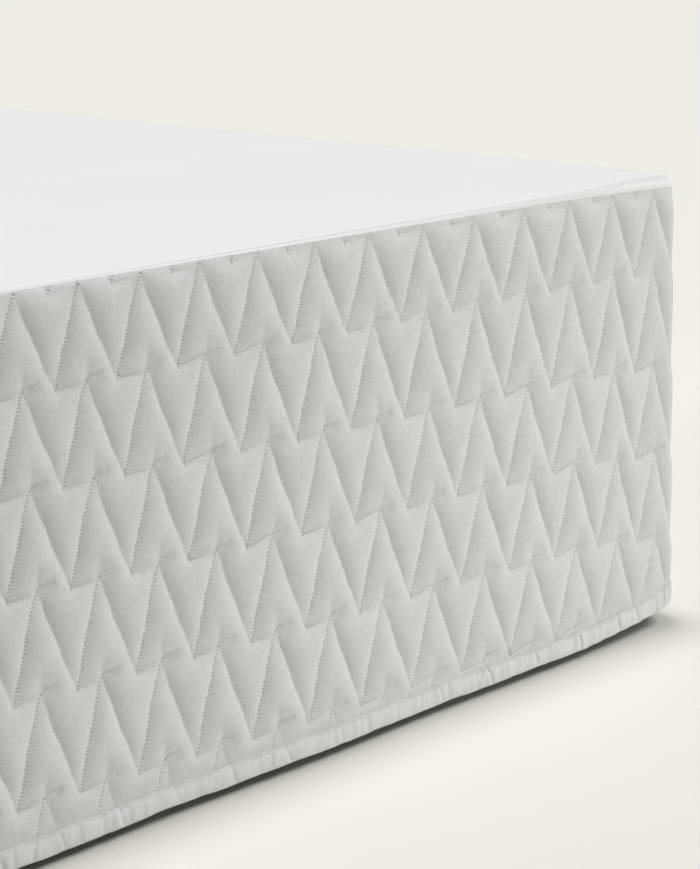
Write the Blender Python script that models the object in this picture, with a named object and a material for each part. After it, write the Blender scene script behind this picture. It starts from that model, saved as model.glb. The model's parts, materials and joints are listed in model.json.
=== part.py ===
"""A quilted bed skirt on a plain single bed base, standing on the floor.

The white deck cloth lies on the base and folds over its edges. Three quilted
drop panels are sewn to it, one at the foot and one on each long side, and each
has a binding folded round its hem. The head end is open. The bed's foot faces
-Y, +X is to the right of someone standing there, and Z is up. Metres.
"""

import math
from collections import namedtuple

import bmesh
import bpy
from mathutils import Vector

# ---------------------------------------------------------------- bed base
BASE_WIDTH = 0.990
BASE_LENGTH = 1.910
BASE_TOP = 0.4062
BASE_UNDERSIDE = 0.030
BASE_TOP_EDGE = 0.008  # radius of the edge that the cloth folds over
GLIDE_RADIUS = 0.025
GLIDE_SIDES = 20
GLIDE_INSET = 0.090  # from the base's sides to a glide's centre
GLIDE_ROWS = (-1, 0, 1)  # foot, middle and head, in half lengths

# ------------------------------------------------------------------- cloth
GAP = 0.0003  # between two pieces that touch
CLEARANCE = 0.0023  # between the base's sides and the back of the quilting
DECK_THICKNESS = 0.0015
QUILT_THICKNESS = 0.0020  # at the stitching
PUFF = 0.0034  # how far the filling stands out between two rows of stitching
DECK_TOP = BASE_TOP + GAP + DECK_THICKNESS
FOLD = 0.004  # radius of the deck cloth's fold at the edge
CORNER = 0.018  # radius of the bed's upright corners, at the stitching
CORNER_BEND = math.pi / 8  # the cloth goes round a corner in flat steps of this angle
FLARE = 0.004  # how far the hem hangs out from the top seam
RIPPLES = ((0.0010, 0.37, 0.4), (0.0006, 0.23, 2.1))  # height, length, phase

WALL_X = BASE_WIDTH / 2 + CLEARANCE + QUILT_THICKNESS
WALL_Y = BASE_LENGTH / 2 + CLEARANCE + QUILT_THICKNESS

# ------------------------------------------- depths below the deck, in drops
HEM_DEPTH = 0.400
HEM_LIFT = 0.0115  # the hem is drawn up at the foot's right corner
BINDING_HEIGHT = 0.0185
BINDING_SPREAD = 0.002  # the binding is this much taller at that corner
LIFT_RUN = 0.170  # how far from the corner the hem starts to rise
BINDING_THICKNESS = 0.0010
BINDING_FOLD = 0.0012  # cloth under the raw edge
SEAM_FAR = 0.0010  # the top seam, away from the corner
SEAM_DROP = 0.007  # and how much lower it is near the corner
SEAM_CORNER = 0.0032  # and once more, right at the corner
NEAR_RUN = 0.68  # the seam sinks towards the corner over this run
NEAR_POWER = 1.25
DROP_FLAT = 0.381  # a drop between seam and binding, laid flat
PINCH = 0.008  # the filling is pinched over this depth beside the seam and the binding

# ---------------------------------------------------------------- quilting
# Zigzag rows of stitching. A run is a distance along the wall from the corner
# at the foot's right end, positive along the foot and negative along the side.
COLUMN = 0.0543  # from one peak to the next
FIRST_PEAK = 0.0377
WANDER = 0.0050  # the peaks wander this far to and fro
WANDER_COLUMNS = 12
WANDER_START = 1.7
REACH = 1.08  # a valley lies this many rows below its peaks
# depth of each row's peaks, at the corner and at three runs away from it
Row = namedtuple("Row", "corner near middle far")
ROW_RUNS = Row(0.0, 0.12, 0.36, 0.72)
ROWS = (
    Row(-0.0565, -0.0595, -0.0635, -0.0650),
    Row(0.0115, 0.0065, 0.0035, 0.0010),
    Row(0.0775, 0.0735, 0.0705, 0.0670),
    Row(0.1655, 0.1545, 0.1465, 0.1335),
    Row(0.2450, 0.2300, 0.2205, 0.2035),
    Row(0.3245, 0.3045, 0.2940, 0.2770),
    Row(0.3940, 0.3770, 0.3700, 0.3530),
    Row(0.4660, 0.4520, 0.4490, 0.4275),
)
FIRST_LINE = -1  # the mesh starts this row above the deck and is trimmed there
LAST_LINE = 7
# the lines across one row's puff: share of the row, share of the puff's height
PUFF_LINES = ((0.0, 0.0), (0.24, 1.0), (0.76, 1.0))

END_PINCH = 0.014  # and over this run beside a panel's ends

LEAST_STRIP = 0.0025  # no two upright mesh lines are nearer than this
SNAP = 0.0016  # a mesh point this near a trimmed edge is put on it
FLAT = 1e-6  # less than this is nothing

# A panel of the drop in its own frame, x to the right, seen from outside.
Panel = namedtuple("Panel", "name half round_left round_right turn centre start_run")

SIDE_HALF = (BASE_LENGTH / 2 + WALL_Y) / 2
SIDE_CENTRE_Y = (BASE_LENGTH / 2 - WALL_Y) / 2
LEFT_START = 2 * WALL_X + SIDE_HALF
PANELS = (
    Panel("foot", WALL_X, True, True, 0.0, (0, -WALL_Y), WALL_X),
    Panel("right", SIDE_HALF, True, False, math.pi / 2, (WALL_X, SIDE_CENTRE_Y), -SIDE_HALF),
    Panel("left", SIDE_HALF, False, True, -math.pi / 2, (-WALL_X, SIDE_CENTRE_Y), LEFT_START),
)

# mesh lines round the deck's fold, as shares of the seam's depth
DECK_SHARES = (0.0, 0.3, 1.0)

# ------------------------------------------------------------------ finish
WHITE = (0.84, 0.84, 0.83, 1)
WARM_GREY = (0.58, 0.56, 0.53, 1)
PALE_GREY = (0.62, 0.60, 0.57, 1)
BASE_GREY = (0.42, 0.40, 0.37, 1)
BLACK = (0.03, 0.03, 0.03, 1)


def clear_scene():
    for obj in list(bpy.data.objects):
        bpy.data.objects.remove(obj, do_unlink=True)


def material(name, colour, roughness):
    made = bpy.data.materials.new(name)
    made.use_nodes = True
    shader = made.node_tree.nodes["Principled BSDF"]
    shader.inputs["Base Color"].default_value = colour
    shader.inputs["Roughness"].default_value = roughness
    shader.inputs["Metallic"].default_value = 0.0
    made.diffuse_color = colour
    return made


def add_object(name, bm, finish, collection, centre=(0, 0), turn=0.0):
    mesh = bpy.data.meshes.new(name)
    bm.to_mesh(mesh)
    bm.free()
    mesh.materials.append(finish)
    obj = bpy.data.objects.new(name, mesh)
    obj.location = (centre[0], centre[1], 0)
    obj.rotation_euler = (0, 0, turn)
    collection.objects.link(obj)
    return obj


# --------------------------------------------------------- how the cloth hangs
def nearness(run):
    """1 at the corner, falling to 0 where the seam is level."""
    return max(0.0, 1 - abs(run) / NEAR_RUN) ** NEAR_POWER


def lift(run):
    """1 at the corner, falling to 0 where the hem is level."""
    return max(0.0, 1 - abs(run) / LIFT_RUN) ** 2


def hem_depth(run):
    return HEM_DEPTH - HEM_LIFT * lift(run)


def binding_depth(run):
    return hem_depth(run) - BINDING_HEIGHT - BINDING_SPREAD * lift(run)


def seam_depth(run):
    return SEAM_FAR + SEAM_DROP * nearness(run) + SEAM_CORNER * lift(run)


def drape(run, depth):
    """How far the cloth hangs out from the wall at a depth. At the corner
    where the hem is drawn up it hangs straight down."""
    ripple = sum(
        height * math.sin(math.tau * run / length + phase) for height, length, phase in RIPPLES
    )
    return (1 - lift(run)) * (FLARE + ripple) * depth / HEM_DEPTH


def corner_place(panel, side, step):
    """A point of a round corner, a number of bends past its start, and its
    outward direction."""
    angle = step * CORNER_BEND
    outward = Vector((side * math.sin(angle), -math.cos(angle), 0))
    return Vector((side * (panel.half - CORNER), CORNER, 0)) + CORNER * outward, outward


def wall(panel, x):
    """A panel's plan position at x, and its outward direction, in its frame."""
    over = abs(x) - (panel.half - CORNER)
    rounded = panel.round_right if x > 0 else panel.round_left
    if over <= 0 or not rounded:
        return Vector((x, 0, 0)), Vector((0, -1, 0))
    bends = over / (CORNER * CORNER_BEND)
    side = math.copysign(1, x)
    start, end = (corner_place(panel, side, math.floor(bends) + n) for n in (0, 1))
    share = bends - math.floor(bends)
    return tuple(a.lerp(b, share) for a, b in zip(start, end))


def hang(panel, x, depth, height):
    """A point of the cloth, at x along the wall, a depth below the deck, and
    a height out of the cloth's face. Above FOLD it lies on the fold."""
    place, outward = wall(panel, x)
    tip = math.acos(1 - min(max(depth, 0), FOLD) / FOLD)
    out = drape(panel.start_run - x, depth) - FOLD * (1 - math.sin(tip)) + height * math.sin(tip)
    up = DECK_TOP - depth + height * math.cos(tip)
    return place + out * outward + Vector((0, 0, up))


def ends(panel):
    """The panel's two ends, at the seams in the middle of the round corners."""
    seam = panel.half - CORNER + 2 * CORNER * CORNER_BEND - GAP / 2
    return (
        -seam if panel.round_left else -panel.half,
        seam if panel.round_right else panel.half,
    )


def corner_lines(panel):
    """Where a panel starts to bend round a corner, and half way to its seam."""
    straight = panel.half - CORNER
    bend = straight + CORNER * CORNER_BEND
    lines = []
    if panel.round_left:
        lines += [-bend, -straight]
    if panel.round_right:
        lines += [straight, bend]
    return lines


# ------------------------------------------------------------- the stitching
def column_run(k):
    """The run of the k-th peak; half a column on, of the valley beside it."""
    sway = WANDER * math.cos(math.tau * (k - WANDER_START) / WANDER_COLUMNS)
    return FIRST_PEAK + COLUMN * k - sway


def columns_between(low, high):
    """Peaks and valleys, in half columns, whose runs lie between two runs."""
    first = math.floor((low - FIRST_PEAK) / COLUMN) - 1
    last = math.ceil((high - FIRST_PEAK) / COLUMN) + 1
    halves = range(2 * first, 2 * last + 1)
    return [n for n in halves if low < column_run(n / 2) < high]


def valley_share(run):
    """0 under a peak and 1 over a valley, straight between them."""
    n = columns_between(run - COLUMN, run)[-1]
    start, end = column_run(n / 2), column_run((n + 1) / 2)
    share = (run - start) / (end - start)
    return share if n % 2 == 0 else 1 - share


def upright_lines(panel):
    """The x of each upright mesh line, from left to right: at every peak and
    valley, at the ends, and where the panel bends."""
    left, right = ends(panel)
    fixed = [left, right, *corner_lines(panel)]
    found = columns_between(panel.start_run - right, panel.start_run - left)
    peaks = [panel.start_run - column_run(n / 2) for n in found]
    spaced = [x for x in peaks if all(abs(x - other) > LEAST_STRIP for other in fixed)]
    return sorted(fixed + spaced)


def peak_depth(row, run):
    """The depth of a row's peaks, straight between the runs of its table."""
    run = min(abs(run), ROW_RUNS.far)
    column = 1 if run < ROW_RUNS.near else 2 if run < ROW_RUNS.middle else 3
    start, end = ROW_RUNS[column - 1 : column + 1]
    share = (run - start) / (end - start)
    return row[column - 1] + share * (row[column] - row[column - 1])


def row_depth(place, run):
    """The depth at a place that is counted in rows, such as 2.5."""
    index = min(max(math.floor(place), 0), len(ROWS) - 2)
    upper, lower = (peak_depth(row, run) for row in ROWS[index : index + 2])
    return upper + (place - index) * (lower - upper)


def mesh_lines():
    """The zigzag mesh lines from top to bottom: place in rows, and height."""
    rows = range(FIRST_LINE, LAST_LINE)
    lines = [(row + share, PUFF * rise) for row in rows for share, rise in PUFF_LINES]
    return [*lines, (LAST_LINE, 0.0)]


def flat_grid(across, down):
    """A grid with across by down points, and each point's two indices."""
    bm = bmesh.new()
    bmesh.ops.create_grid(bm, x_segments=across - 1, y_segments=down - 1, size=1)
    places = [
        (vert, round((vert.co.x + 1) / 2 * (across - 1)), round((1 - vert.co.y) / 2 * (down - 1)))
        for vert in bm.verts
    ]
    return bm, places


def flat_quilting(panel, xs):
    """The stitched cloth laid flat, x to the right, y up, height along Z."""
    lines = mesh_lines()
    shares = [valley_share(panel.start_run - x) for x in xs]
    fullness = [min(1.0, min(x - xs[0], xs[-1] - x) / END_PINCH) for x in xs]
    bm, places = flat_grid(len(xs), len(lines))
    for vert, i, j in places:
        run = panel.start_run - xs[i]
        place, height = lines[j]
        top, bottom = seam_depth(run), binding_depth(run)
        down = (row_depth(place + REACH * shares[i], run) - top) / (bottom - top)
        vert.co = (xs[i], -down * DROP_FLAT, height * fullness[i])
    return bm


def edges_at(bm, y):
    """The flat cloth's boundary edges that lie along a height."""
    return [e for e in bm.edges if e.is_boundary and all(abs(v.co.y - y) < SNAP for v in e.verts)]


def trim(bm, edge_y, keep_below):
    """Cut the flat cloth along y = edge_y."""
    for vert in bm.verts:
        if abs(vert.co.y - edge_y) < SNAP:
            vert.co.y = edge_y
    bmesh.ops.bisect_plane(
        bm,
        geom=[*bm.verts, *bm.edges, *bm.faces],
        dist=FLAT,
        plane_co=(0, edge_y, 0),
        plane_no=(0, 1 if keep_below else -1, 0),
        clear_outer=True,
    )


def add_strip(bm, xs, start_y, end_y):
    """A strip from the cloth's edge at start_y to a flat edge at end_y, whose
    points stand on the upright lines."""
    made = bmesh.ops.extrude_edge_only(bm, edges=edges_at(bm, start_y))["geom"]
    outer = [item for item in made if isinstance(item, bmesh.types.BMVert)]
    for vert in outer:
        vert.co = (min(xs, key=lambda x: abs(x - vert.co.x)), end_y, 0.0)
    bmesh.ops.remove_doubles(bm, verts=outer, dist=FLAT)


def add_back(bm, xs):
    """Give the flat cloth its thickness, with a plain back in upright strips."""
    edge = [e for e in bm.edges if e.is_boundary]
    made = bmesh.ops.extrude_edge_only(bm, edges=edge)["geom"]
    rim = [item for item in made if isinstance(item, bmesh.types.BMVert)]
    for vert in rim:
        vert.co.z = -QUILT_THICKNESS
    loop = [item for item in made if isinstance(item, bmesh.types.BMEdge) and item.is_boundary]
    bmesh.ops.contextual_create(bm, geom=loop)
    for x in xs[1:-1]:
        bmesh.ops.connect_verts(bm, verts=[v for v in rim if abs(v.co.x - x) < FLAT])
    bmesh.ops.recalc_face_normals(bm, faces=bm.faces)
    bmesh.ops.triangulate(bm, faces=bm.faces)


def hung_depth(run, y):
    """The depth at which a height of the flat cloth hangs."""
    if y < -DROP_FLAT - SNAP:
        return hem_depth(run) - BINDING_FOLD - GAP
    top, bottom = seam_depth(run), binding_depth(run)
    return top - y / DROP_FLAT * (bottom - top)


def drop_panel(panel, finish, collection):
    """A quilted drop: stitched flat, trimmed, given its back and then hung."""
    xs = upright_lines(panel)
    bm = flat_quilting(panel, xs)
    trim(bm, -PINCH, True)
    trim(bm, PINCH - DROP_FLAT, False)
    add_strip(bm, xs, -PINCH, 0.0)
    add_strip(bm, xs, PINCH - DROP_FLAT, -DROP_FLAT)
    add_strip(bm, xs, -DROP_FLAT, -DROP_FLAT - BINDING_HEIGHT)
    add_back(bm, xs)
    for vert in bm.verts:
        x, y, height = vert.co
        vert.co = hang(panel, x, hung_depth(panel.start_run - x, y), height)
    return add_object(f"drop_{panel.name}", bm, finish, collection, panel.centre, panel.turn)


# ------------------------------------------------------------------ binding
def binding_section(run):
    """The folded binding's outline, height out of the cloth and depth."""
    front = GAP + BINDING_THICKNESS
    inner_back = -QUILT_THICKNESS - GAP
    back = inner_back - BINDING_THICKNESS
    top, hem = binding_depth(run) + GAP, hem_depth(run)
    inside = hem - BINDING_FOLD
    return (
        (GAP, top),
        (front, top),
        (front, hem - BINDING_THICKNESS),
        ((front + back) / 2, hem),
        (back, hem - BINDING_THICKNESS),
        (back, top),
        (inner_back, top),
        (inner_back, inside),
        (GAP, inside),
    )


def section_lines(panel):
    """The x of each section: every upright line where the hem rises or bends,
    and every second one elsewhere."""
    xs = upright_lines(panel)
    bends = [*ends(panel), *corner_lines(panel)]
    rising = [x for x in xs if abs(panel.start_run - x) < LIFT_RUN + COLUMN]
    return sorted({*xs[::2], *bends, *rising})


def binding(panel, finish, collection):
    """The strip that is folded round the drop's lower edge."""
    xs = section_lines(panel)
    across = len(binding_section(0.0))
    bm, places = flat_grid(len(xs), across + 1)
    for vert, i, j in places:
        height, depth = binding_section(panel.start_run - xs[i])[j % across]
        vert.co = hang(panel, xs[i], depth, height)
    bmesh.ops.remove_doubles(bm, verts=bm.verts, dist=FLAT)
    bmesh.ops.holes_fill(bm, edges=bm.edges, sides=0)
    bmesh.ops.recalc_face_normals(bm, faces=bm.faces)
    bmesh.ops.triangulate(bm, faces=bm.faces)
    return add_object(f"binding_{panel.name}", bm, finish, collection, panel.centre, panel.turn)


# --------------------------------------------------------------------- deck
def turned(place, turn):
    """A place turned about Z."""
    cosine, sine = math.cos(turn), math.sin(turn)
    return Vector(
        (place.x * cosine - place.y * sine, place.x * sine + place.y * cosine, place.z)
    )


def deck_rim():
    """Where the mesh lines cross the deck's folded edge, from the head round
    the foot and back to the head."""
    foot, right, left = PANELS
    rim = []
    for panel in (left, foot, right):
        at_corner = [] if panel is foot else [x for x in ends(panel) if abs(x) < panel.half]
        rim += [(panel, x) for x in section_lines(panel) if x not in at_corner]
    return rim


def deck(finish, collection):
    """The cloth that lies on the base and folds over three of its edges: its
    upper face down to the seam, and its lower face back up."""
    rim = deck_rim()
    levels = [(share, 0.0) for share in DECK_SHARES]
    levels += [(share, -DECK_THICKNESS) for share in reversed(DECK_SHARES)]
    bm, places = flat_grid(len(rim), len(levels))
    for vert, i, j in places:
        panel, x = rim[i]
        share, height = levels[j]
        depth = (seam_depth(panel.start_run - x) - GAP) * share
        vert.co = turned(hang(panel, x, depth, height), panel.turn) + Vector((*panel.centre, 0))
    for level in (DECK_TOP, DECK_TOP - DECK_THICKNESS):
        rim_edges = [e for e in bm.edges if e.is_boundary]
        level_edges = [e for e in rim_edges if all(abs(v.co.z - level) < FLAT for v in e.verts)]
        bmesh.ops.contextual_create(bm, geom=level_edges)
    bmesh.ops.holes_fill(bm, edges=bm.edges, sides=0)
    bmesh.ops.recalc_face_normals(bm, faces=bm.faces)
    bmesh.ops.triangulate(bm, faces=bm.faces)
    return add_object("deck", bm, finish, collection)


# ----------------------------------------------------------------- bed base
def base_box(finish, collection):
    """The plain upholstered base under the skirt."""
    bm = bmesh.new()
    bmesh.ops.create_cube(bm, size=1)
    height = BASE_TOP - BASE_UNDERSIDE
    bmesh.ops.scale(bm, vec=(BASE_WIDTH, BASE_LENGTH, height), verts=bm.verts)
    bmesh.ops.translate(bm, vec=(0, 0, BASE_UNDERSIDE + height / 2), verts=bm.verts)
    upright = [e for e in bm.edges if abs(e.verts[0].co.z - e.verts[1].co.z) > height / 2]
    radius = CORNER - CLEARANCE - QUILT_THICKNESS
    bmesh.ops.bevel(bm, geom=upright, offset=radius, segments=4, profile=0.5, affect="EDGES")
    top = [e for e in bm.edges if all(abs(v.co.z - BASE_TOP) < FLAT for v in e.verts)]
    bmesh.ops.bevel(bm, geom=top, offset=BASE_TOP_EDGE, segments=3, profile=0.5, affect="EDGES")
    return add_object("base_box", bm, finish, collection)


def glides(finish, collection):
    """The low round feet under the base, two in each row."""
    height = BASE_UNDERSIDE - GAP
    for row in GLIDE_ROWS:
        for side, name in ((-1, "left"), (1, "right")):
            bm = bmesh.new()
            bmesh.ops.create_cone(
                bm,
                cap_ends=True,
                segments=GLIDE_SIDES,
                radius1=GLIDE_RADIUS,
                radius2=GLIDE_RADIUS,
                depth=height,
            )
            bmesh.ops.translate(bm, vec=(0, 0, height / 2), verts=bm.verts)
            place = (
                side * (BASE_WIDTH / 2 - GLIDE_INSET),
                row * (BASE_LENGTH / 2 - GLIDE_INSET),
            )
            label = ("foot", "middle", "head")[row + 1]
            obj = add_object(f"glide_{label}_{name}", bm, finish, collection, place)
            obj.data.shade_smooth()
            obj.data.set_sharp_from_angle(angle=math.radians(40))


def build():
    clear_scene()
    collection = bpy.data.collections.new("bed_skirt")
    bpy.context.scene.collection.children.link(collection)
    deck_cloth = material("white_deck_cloth", WHITE, 0.9)
    quilting = material("warm_grey_quilting", WARM_GREY, 0.85)
    trimming = material("pale_grey_binding", PALE_GREY, 0.8)
    upholstery = material("grey_upholstery", BASE_GREY, 0.95)
    plastic = material("black_plastic", BLACK, 0.5)
    deck(deck_cloth, collection)
    for panel in PANELS:
        drop_panel(panel, quilting, collection)
        binding(panel, trimming, collection)
    base_box(upholstery, collection)
    glides(plastic, collection)


build()
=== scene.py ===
# %% [markdown]
# # A quilted bed skirt
#
# A bed skirt hides the base of a bed. This one has a plain white deck cloth that
# lies on the base, three quilted drops that hang from the deck's edge, and a
# narrow binding round each hem. The lesson dresses the plain solids of the packed
# model: first the frame is loaded, then each cloth gets its fine shape, its
# stitches and its weave, and at the end the light and the floor are set.

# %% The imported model
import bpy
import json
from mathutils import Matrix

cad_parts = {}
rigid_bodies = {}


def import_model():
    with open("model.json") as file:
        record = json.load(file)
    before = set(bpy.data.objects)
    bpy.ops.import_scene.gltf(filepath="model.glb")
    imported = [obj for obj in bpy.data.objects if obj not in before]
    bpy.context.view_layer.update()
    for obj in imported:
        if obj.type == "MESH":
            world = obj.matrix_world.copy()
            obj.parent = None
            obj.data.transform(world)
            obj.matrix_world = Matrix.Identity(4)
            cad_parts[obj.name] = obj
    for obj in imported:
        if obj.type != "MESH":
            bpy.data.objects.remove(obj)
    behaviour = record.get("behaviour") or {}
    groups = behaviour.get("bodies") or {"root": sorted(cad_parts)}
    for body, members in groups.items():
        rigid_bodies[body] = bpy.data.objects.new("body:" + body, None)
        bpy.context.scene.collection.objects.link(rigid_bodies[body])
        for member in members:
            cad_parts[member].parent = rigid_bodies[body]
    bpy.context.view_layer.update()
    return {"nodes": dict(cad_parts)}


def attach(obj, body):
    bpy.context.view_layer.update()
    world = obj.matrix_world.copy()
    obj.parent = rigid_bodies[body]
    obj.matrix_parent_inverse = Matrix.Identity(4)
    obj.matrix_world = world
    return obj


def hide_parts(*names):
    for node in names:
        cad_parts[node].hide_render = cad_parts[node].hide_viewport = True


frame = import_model()

# %% Tools
import json
import math
from collections import namedtuple

import bmesh
import bpy
import numpy as np
from mathutils import Matrix, Vector

MM = 0.001
BODY = "root"


def add_object(name, data):
    made = bpy.data.objects.new(name, data)
    bpy.context.scene.collection.objects.link(made)
    return made


print("one body:", BODY)

# %% [markdown]
# ## Where the camera stands
#
# The photograph was taken from a little above the bed, past its left side, with
# the foot's right corner near the right edge of the picture. The camera comes
# first, because every later choice is judged through it. It is turned to the
# right, tipped down and rolled a little, in that order, and its place is given
# from the corner of the skirt.

# %% Camera
CORNER_OF_SKIRT = Vector((0.5013, -0.9613, 0.408))
CAMERA_FROM_CORNER = Vector((-1.43156, -1.15029, 0.24605))
CAMERA_TURN = 41.948
CAMERA_DIP = 14.524
CAMERA_ROLL = 1.857
CAMERA_LENS = 87.0
CAMERA_SENSOR = 36.0


def add_camera():
    data = bpy.data.cameras.new("camera")
    data.lens = CAMERA_LENS
    data.sensor_width = CAMERA_SENSOR
    camera = add_object("camera", data)
    turn = Matrix.Rotation(math.radians(-CAMERA_TURN), 4, "Z")
    tip = Matrix.Rotation(math.radians(90 - CAMERA_DIP), 4, "X")
    roll = Matrix.Rotation(math.radians(-CAMERA_ROLL), 4, "Z")
    place = Matrix.Translation(CORNER_OF_SKIRT + CAMERA_FROM_CORNER)
    camera.matrix_world = place @ turn @ tip @ roll
    bpy.context.scene.camera = camera
    return camera


print("camera at", tuple(round(v, 3) for v in add_camera().matrix_world.translation))
bpy.context.scene.view_settings.view_transform = "Standard"  # pale cloth stays as pale as it is

# %% [markdown]
# ## How the cloth hangs
#
# The drops hang nearly straight. What makes them look like cloth is small: the
# hem stands out a few millimetres, the wall ripples a little, the hem is drawn up
# at one corner, and the top seam sinks there. These are the same sizes that the
# solids have, so a fine cloth lies exactly on its plain solid. A point of the
# cloth is given by x along its wall, a depth below the deck, and a height out of
# the cloth's face.

# %% Sizes shared with the solids
DECK_TOP = 0.408
BASE_LENGTH = 1.910
GAP = 0.0003
WALL_X = 0.4993
WALL_Y = 0.9593
FOLD = 0.004
CORNER = 0.018
FLARE = 0.004
RIPPLES = ((0.0010, 0.37, 0.4), (0.0006, 0.23, 2.1))  # height, length, phase
HEM_DEPTH = 0.400
HEM_LIFT = 0.0115
LIFT_RUN = 0.170
BINDING_HEIGHT = 0.0185
BINDING_SPREAD = 0.002
SEAM_FAR = 0.0010
SEAM_DROP = 0.007
SEAM_CORNER = 0.0032
NEAR_RUN = 0.68
NEAR_POWER = 1.25
QUILT_THICKNESS = 0.0020
SIDE_HALF = (BASE_LENGTH / 2 + WALL_Y) / 2
SIDE_CENTRE_Y = (BASE_LENGTH / 2 - WALL_Y) / 2

# A wall of the skirt in its own frame, x to the right, seen from outside. A run
# is a distance along the walls from the foot's right corner.
Wall = namedtuple("Wall", "name half rounded_left rounded_right turn centre start_run")
FOOT = Wall("foot", WALL_X, True, True, 0.0, (0, -WALL_Y), WALL_X)
RIGHT = Wall("right", SIDE_HALF, True, False, math.pi / 2, (WALL_X, SIDE_CENTRE_Y), -SIDE_HALF)
LEFT = Wall(
    "left", SIDE_HALF, False, True, -math.pi / 2, (-WALL_X, SIDE_CENTRE_Y), 2 * WALL_X + SIDE_HALF
)
WALLS = (FOOT, RIGHT, LEFT)

# %% The hang of the cloth


def nearness(run):
    """1 at the foot's right corner, 0 where the sewing is level."""
    return np.clip(1 - np.abs(run) / NEAR_RUN, 0, 1) ** NEAR_POWER


def lift(run):
    """1 at that corner, 0 where the hem is level."""
    return np.clip(1 - np.abs(run) / LIFT_RUN, 0, 1) ** 2


def hem_depth(run):
    return HEM_DEPTH - HEM_LIFT * lift(run)


def binding_depth(run):
    return hem_depth(run) - BINDING_HEIGHT - BINDING_SPREAD * lift(run)


def seam_depth(run):
    return SEAM_FAR + SEAM_DROP * nearness(run) + SEAM_CORNER * lift(run)


def drape(run, depth):
    ripple = sum(h * np.sin(math.tau * run / length + phase) for h, length, phase in RIPPLES)
    return (1 - lift(run)) * (FLARE + ripple) * depth / HEM_DEPTH


def along_wall(wall, x):
    """Plan places and outward directions, in the wall's own frame."""
    side = np.sign(x)
    rounded = np.where(x > 0, wall.rounded_right, wall.rounded_left)
    over = np.clip(np.abs(x) - (wall.half - CORNER), 0, None) * rounded
    angle = over / CORNER
    across = x - side * over + side * CORNER * np.sin(angle)
    back = CORNER * (1 - np.cos(angle))
    return across, back, side * np.sin(angle), -np.cos(angle)


def turned(wall, across, back):
    """From the wall's own frame to the bed's."""
    cosine, sine = math.cos(wall.turn), math.sin(wall.turn)
    return across * cosine - back * sine, across * sine + back * cosine


def outward(wall, x):
    """The cloth's outward directions, as rows of three."""
    east, north = turned(wall, *along_wall(wall, np.asarray(x, float))[2:])
    return np.stack([east, north, np.zeros_like(east)], axis=-1)


def off_wall(wall, x, out, up):
    """Points in the bed's frame that stand out from a wall, as rows of three."""
    across, back, out_x, out_y = along_wall(wall, x)
    east, north = turned(wall, across + out * out_x, back + out * out_y)
    return np.stack([east + wall.centre[0], north + wall.centre[1], up], axis=-1)


def hang(wall, x, depth, height):
    """Points of the hung cloth."""
    x, depth, height = np.broadcast_arrays(*(np.asarray(v, float) for v in (x, depth, height)))
    tip = np.arccos(1 - np.clip(depth, 0, FOLD) / FOLD)
    out = drape(wall.start_run - x, depth) - FOLD * (1 - np.sin(tip)) + height * np.sin(tip)
    return off_wall(wall, x, out, DECK_TOP - depth + height * np.cos(tip))


def wall_ends(wall):
    """Where a drop ends: at the seam in the middle of a round corner, or at
    the open head end."""
    seam = wall.half - CORNER + CORNER * math.pi / 4 - GAP / 2
    return (
        -seam if wall.rounded_left else -wall.half,
        seam if wall.rounded_right else wall.half,
    )


for one in WALLS:
    print(one.name, "wall runs from x =", [round(v, 4) for v in wall_ends(one)])

# %% [markdown]
# ## The zigzag stitching
#
# Rows of zigzag stitching hold the filling. Each row goes down from a peak to a
# valley and up to the next peak, and each valley reaches a little below the peaks
# of the row under it. A short table holds the depth of each row's peaks at four
# runs from the corner, and how far the row has slipped along the wall there and
# far away. One cosine makes all the columns wander, as they do on the real cloth.
# The legs bow a little, because the cloth creeps under the needle, and the whole
# line sways by some tenths of a millimetre. Peaks and valleys are the nodes of
# the pattern: even nodes are peaks and odd ones valleys.

# %% Nodes of the pattern
COLUMN = 0.0543
FIRST_PEAK = 0.0377
WANDER = 0.0050
WANDER_COLUMNS = 12
WANDER_START = 1.7
REACH = 1.08
ROW_RUNS = (0.0, 0.12, 0.36, 0.72)
SLIP_RUN = 0.65  # where a row has slipped as far as it does
Row = namedtuple("Row", "corner near middle far slip_corner slip_far")
ROWS = (
    Row(-0.0565, -0.0595, -0.0635, -0.0650, 0.0, -0.0010),
    Row(0.0115, 0.0065, 0.0035, 0.0010, 0.0014, -0.0009),
    Row(0.0775, 0.0735, 0.0705, 0.0670, 0.0015, -0.0019),
    Row(0.1655, 0.1545, 0.1465, 0.1335, 0.0014, -0.0021),
    Row(0.2450, 0.2300, 0.2205, 0.2035, -0.0013, -0.0011),
    Row(0.3245, 0.3045, 0.2940, 0.2770, -0.0023, 0.0025),
    Row(0.3940, 0.3770, 0.3700, 0.3530, -0.0006, 0.0052),
    Row(0.4660, 0.4520, 0.4490, 0.4275, 0.0, 0.0040),
)
FIRST_ROW = -1
LAST_ROW = 7
FIRST_NODE = -90  # nodes are counted from here, past every wall's end
NODES = 250
END_FADE = 0.030  # near a drop's ends the rows have not slipped and legs are straight
BOW = 0.0015
BOW_SKEW = 0.6  # less than 1 puts the bow nearer the peak
SWAYS = ((0.45, 41, 97, 0.7), (0.28, 17, -59, 2.9))  # mm: width, depth length, run length; phase
ROUNDING = 1e-9  # so that a place on a node counts as past it


def column_run(k):
    """The run of the k-th peak, or of a valley where k ends in a half."""
    sway = WANDER * np.cos(math.tau * (k - WANDER_START) / WANDER_COLUMNS)
    return FIRST_PEAK + COLUMN * k - sway


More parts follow.
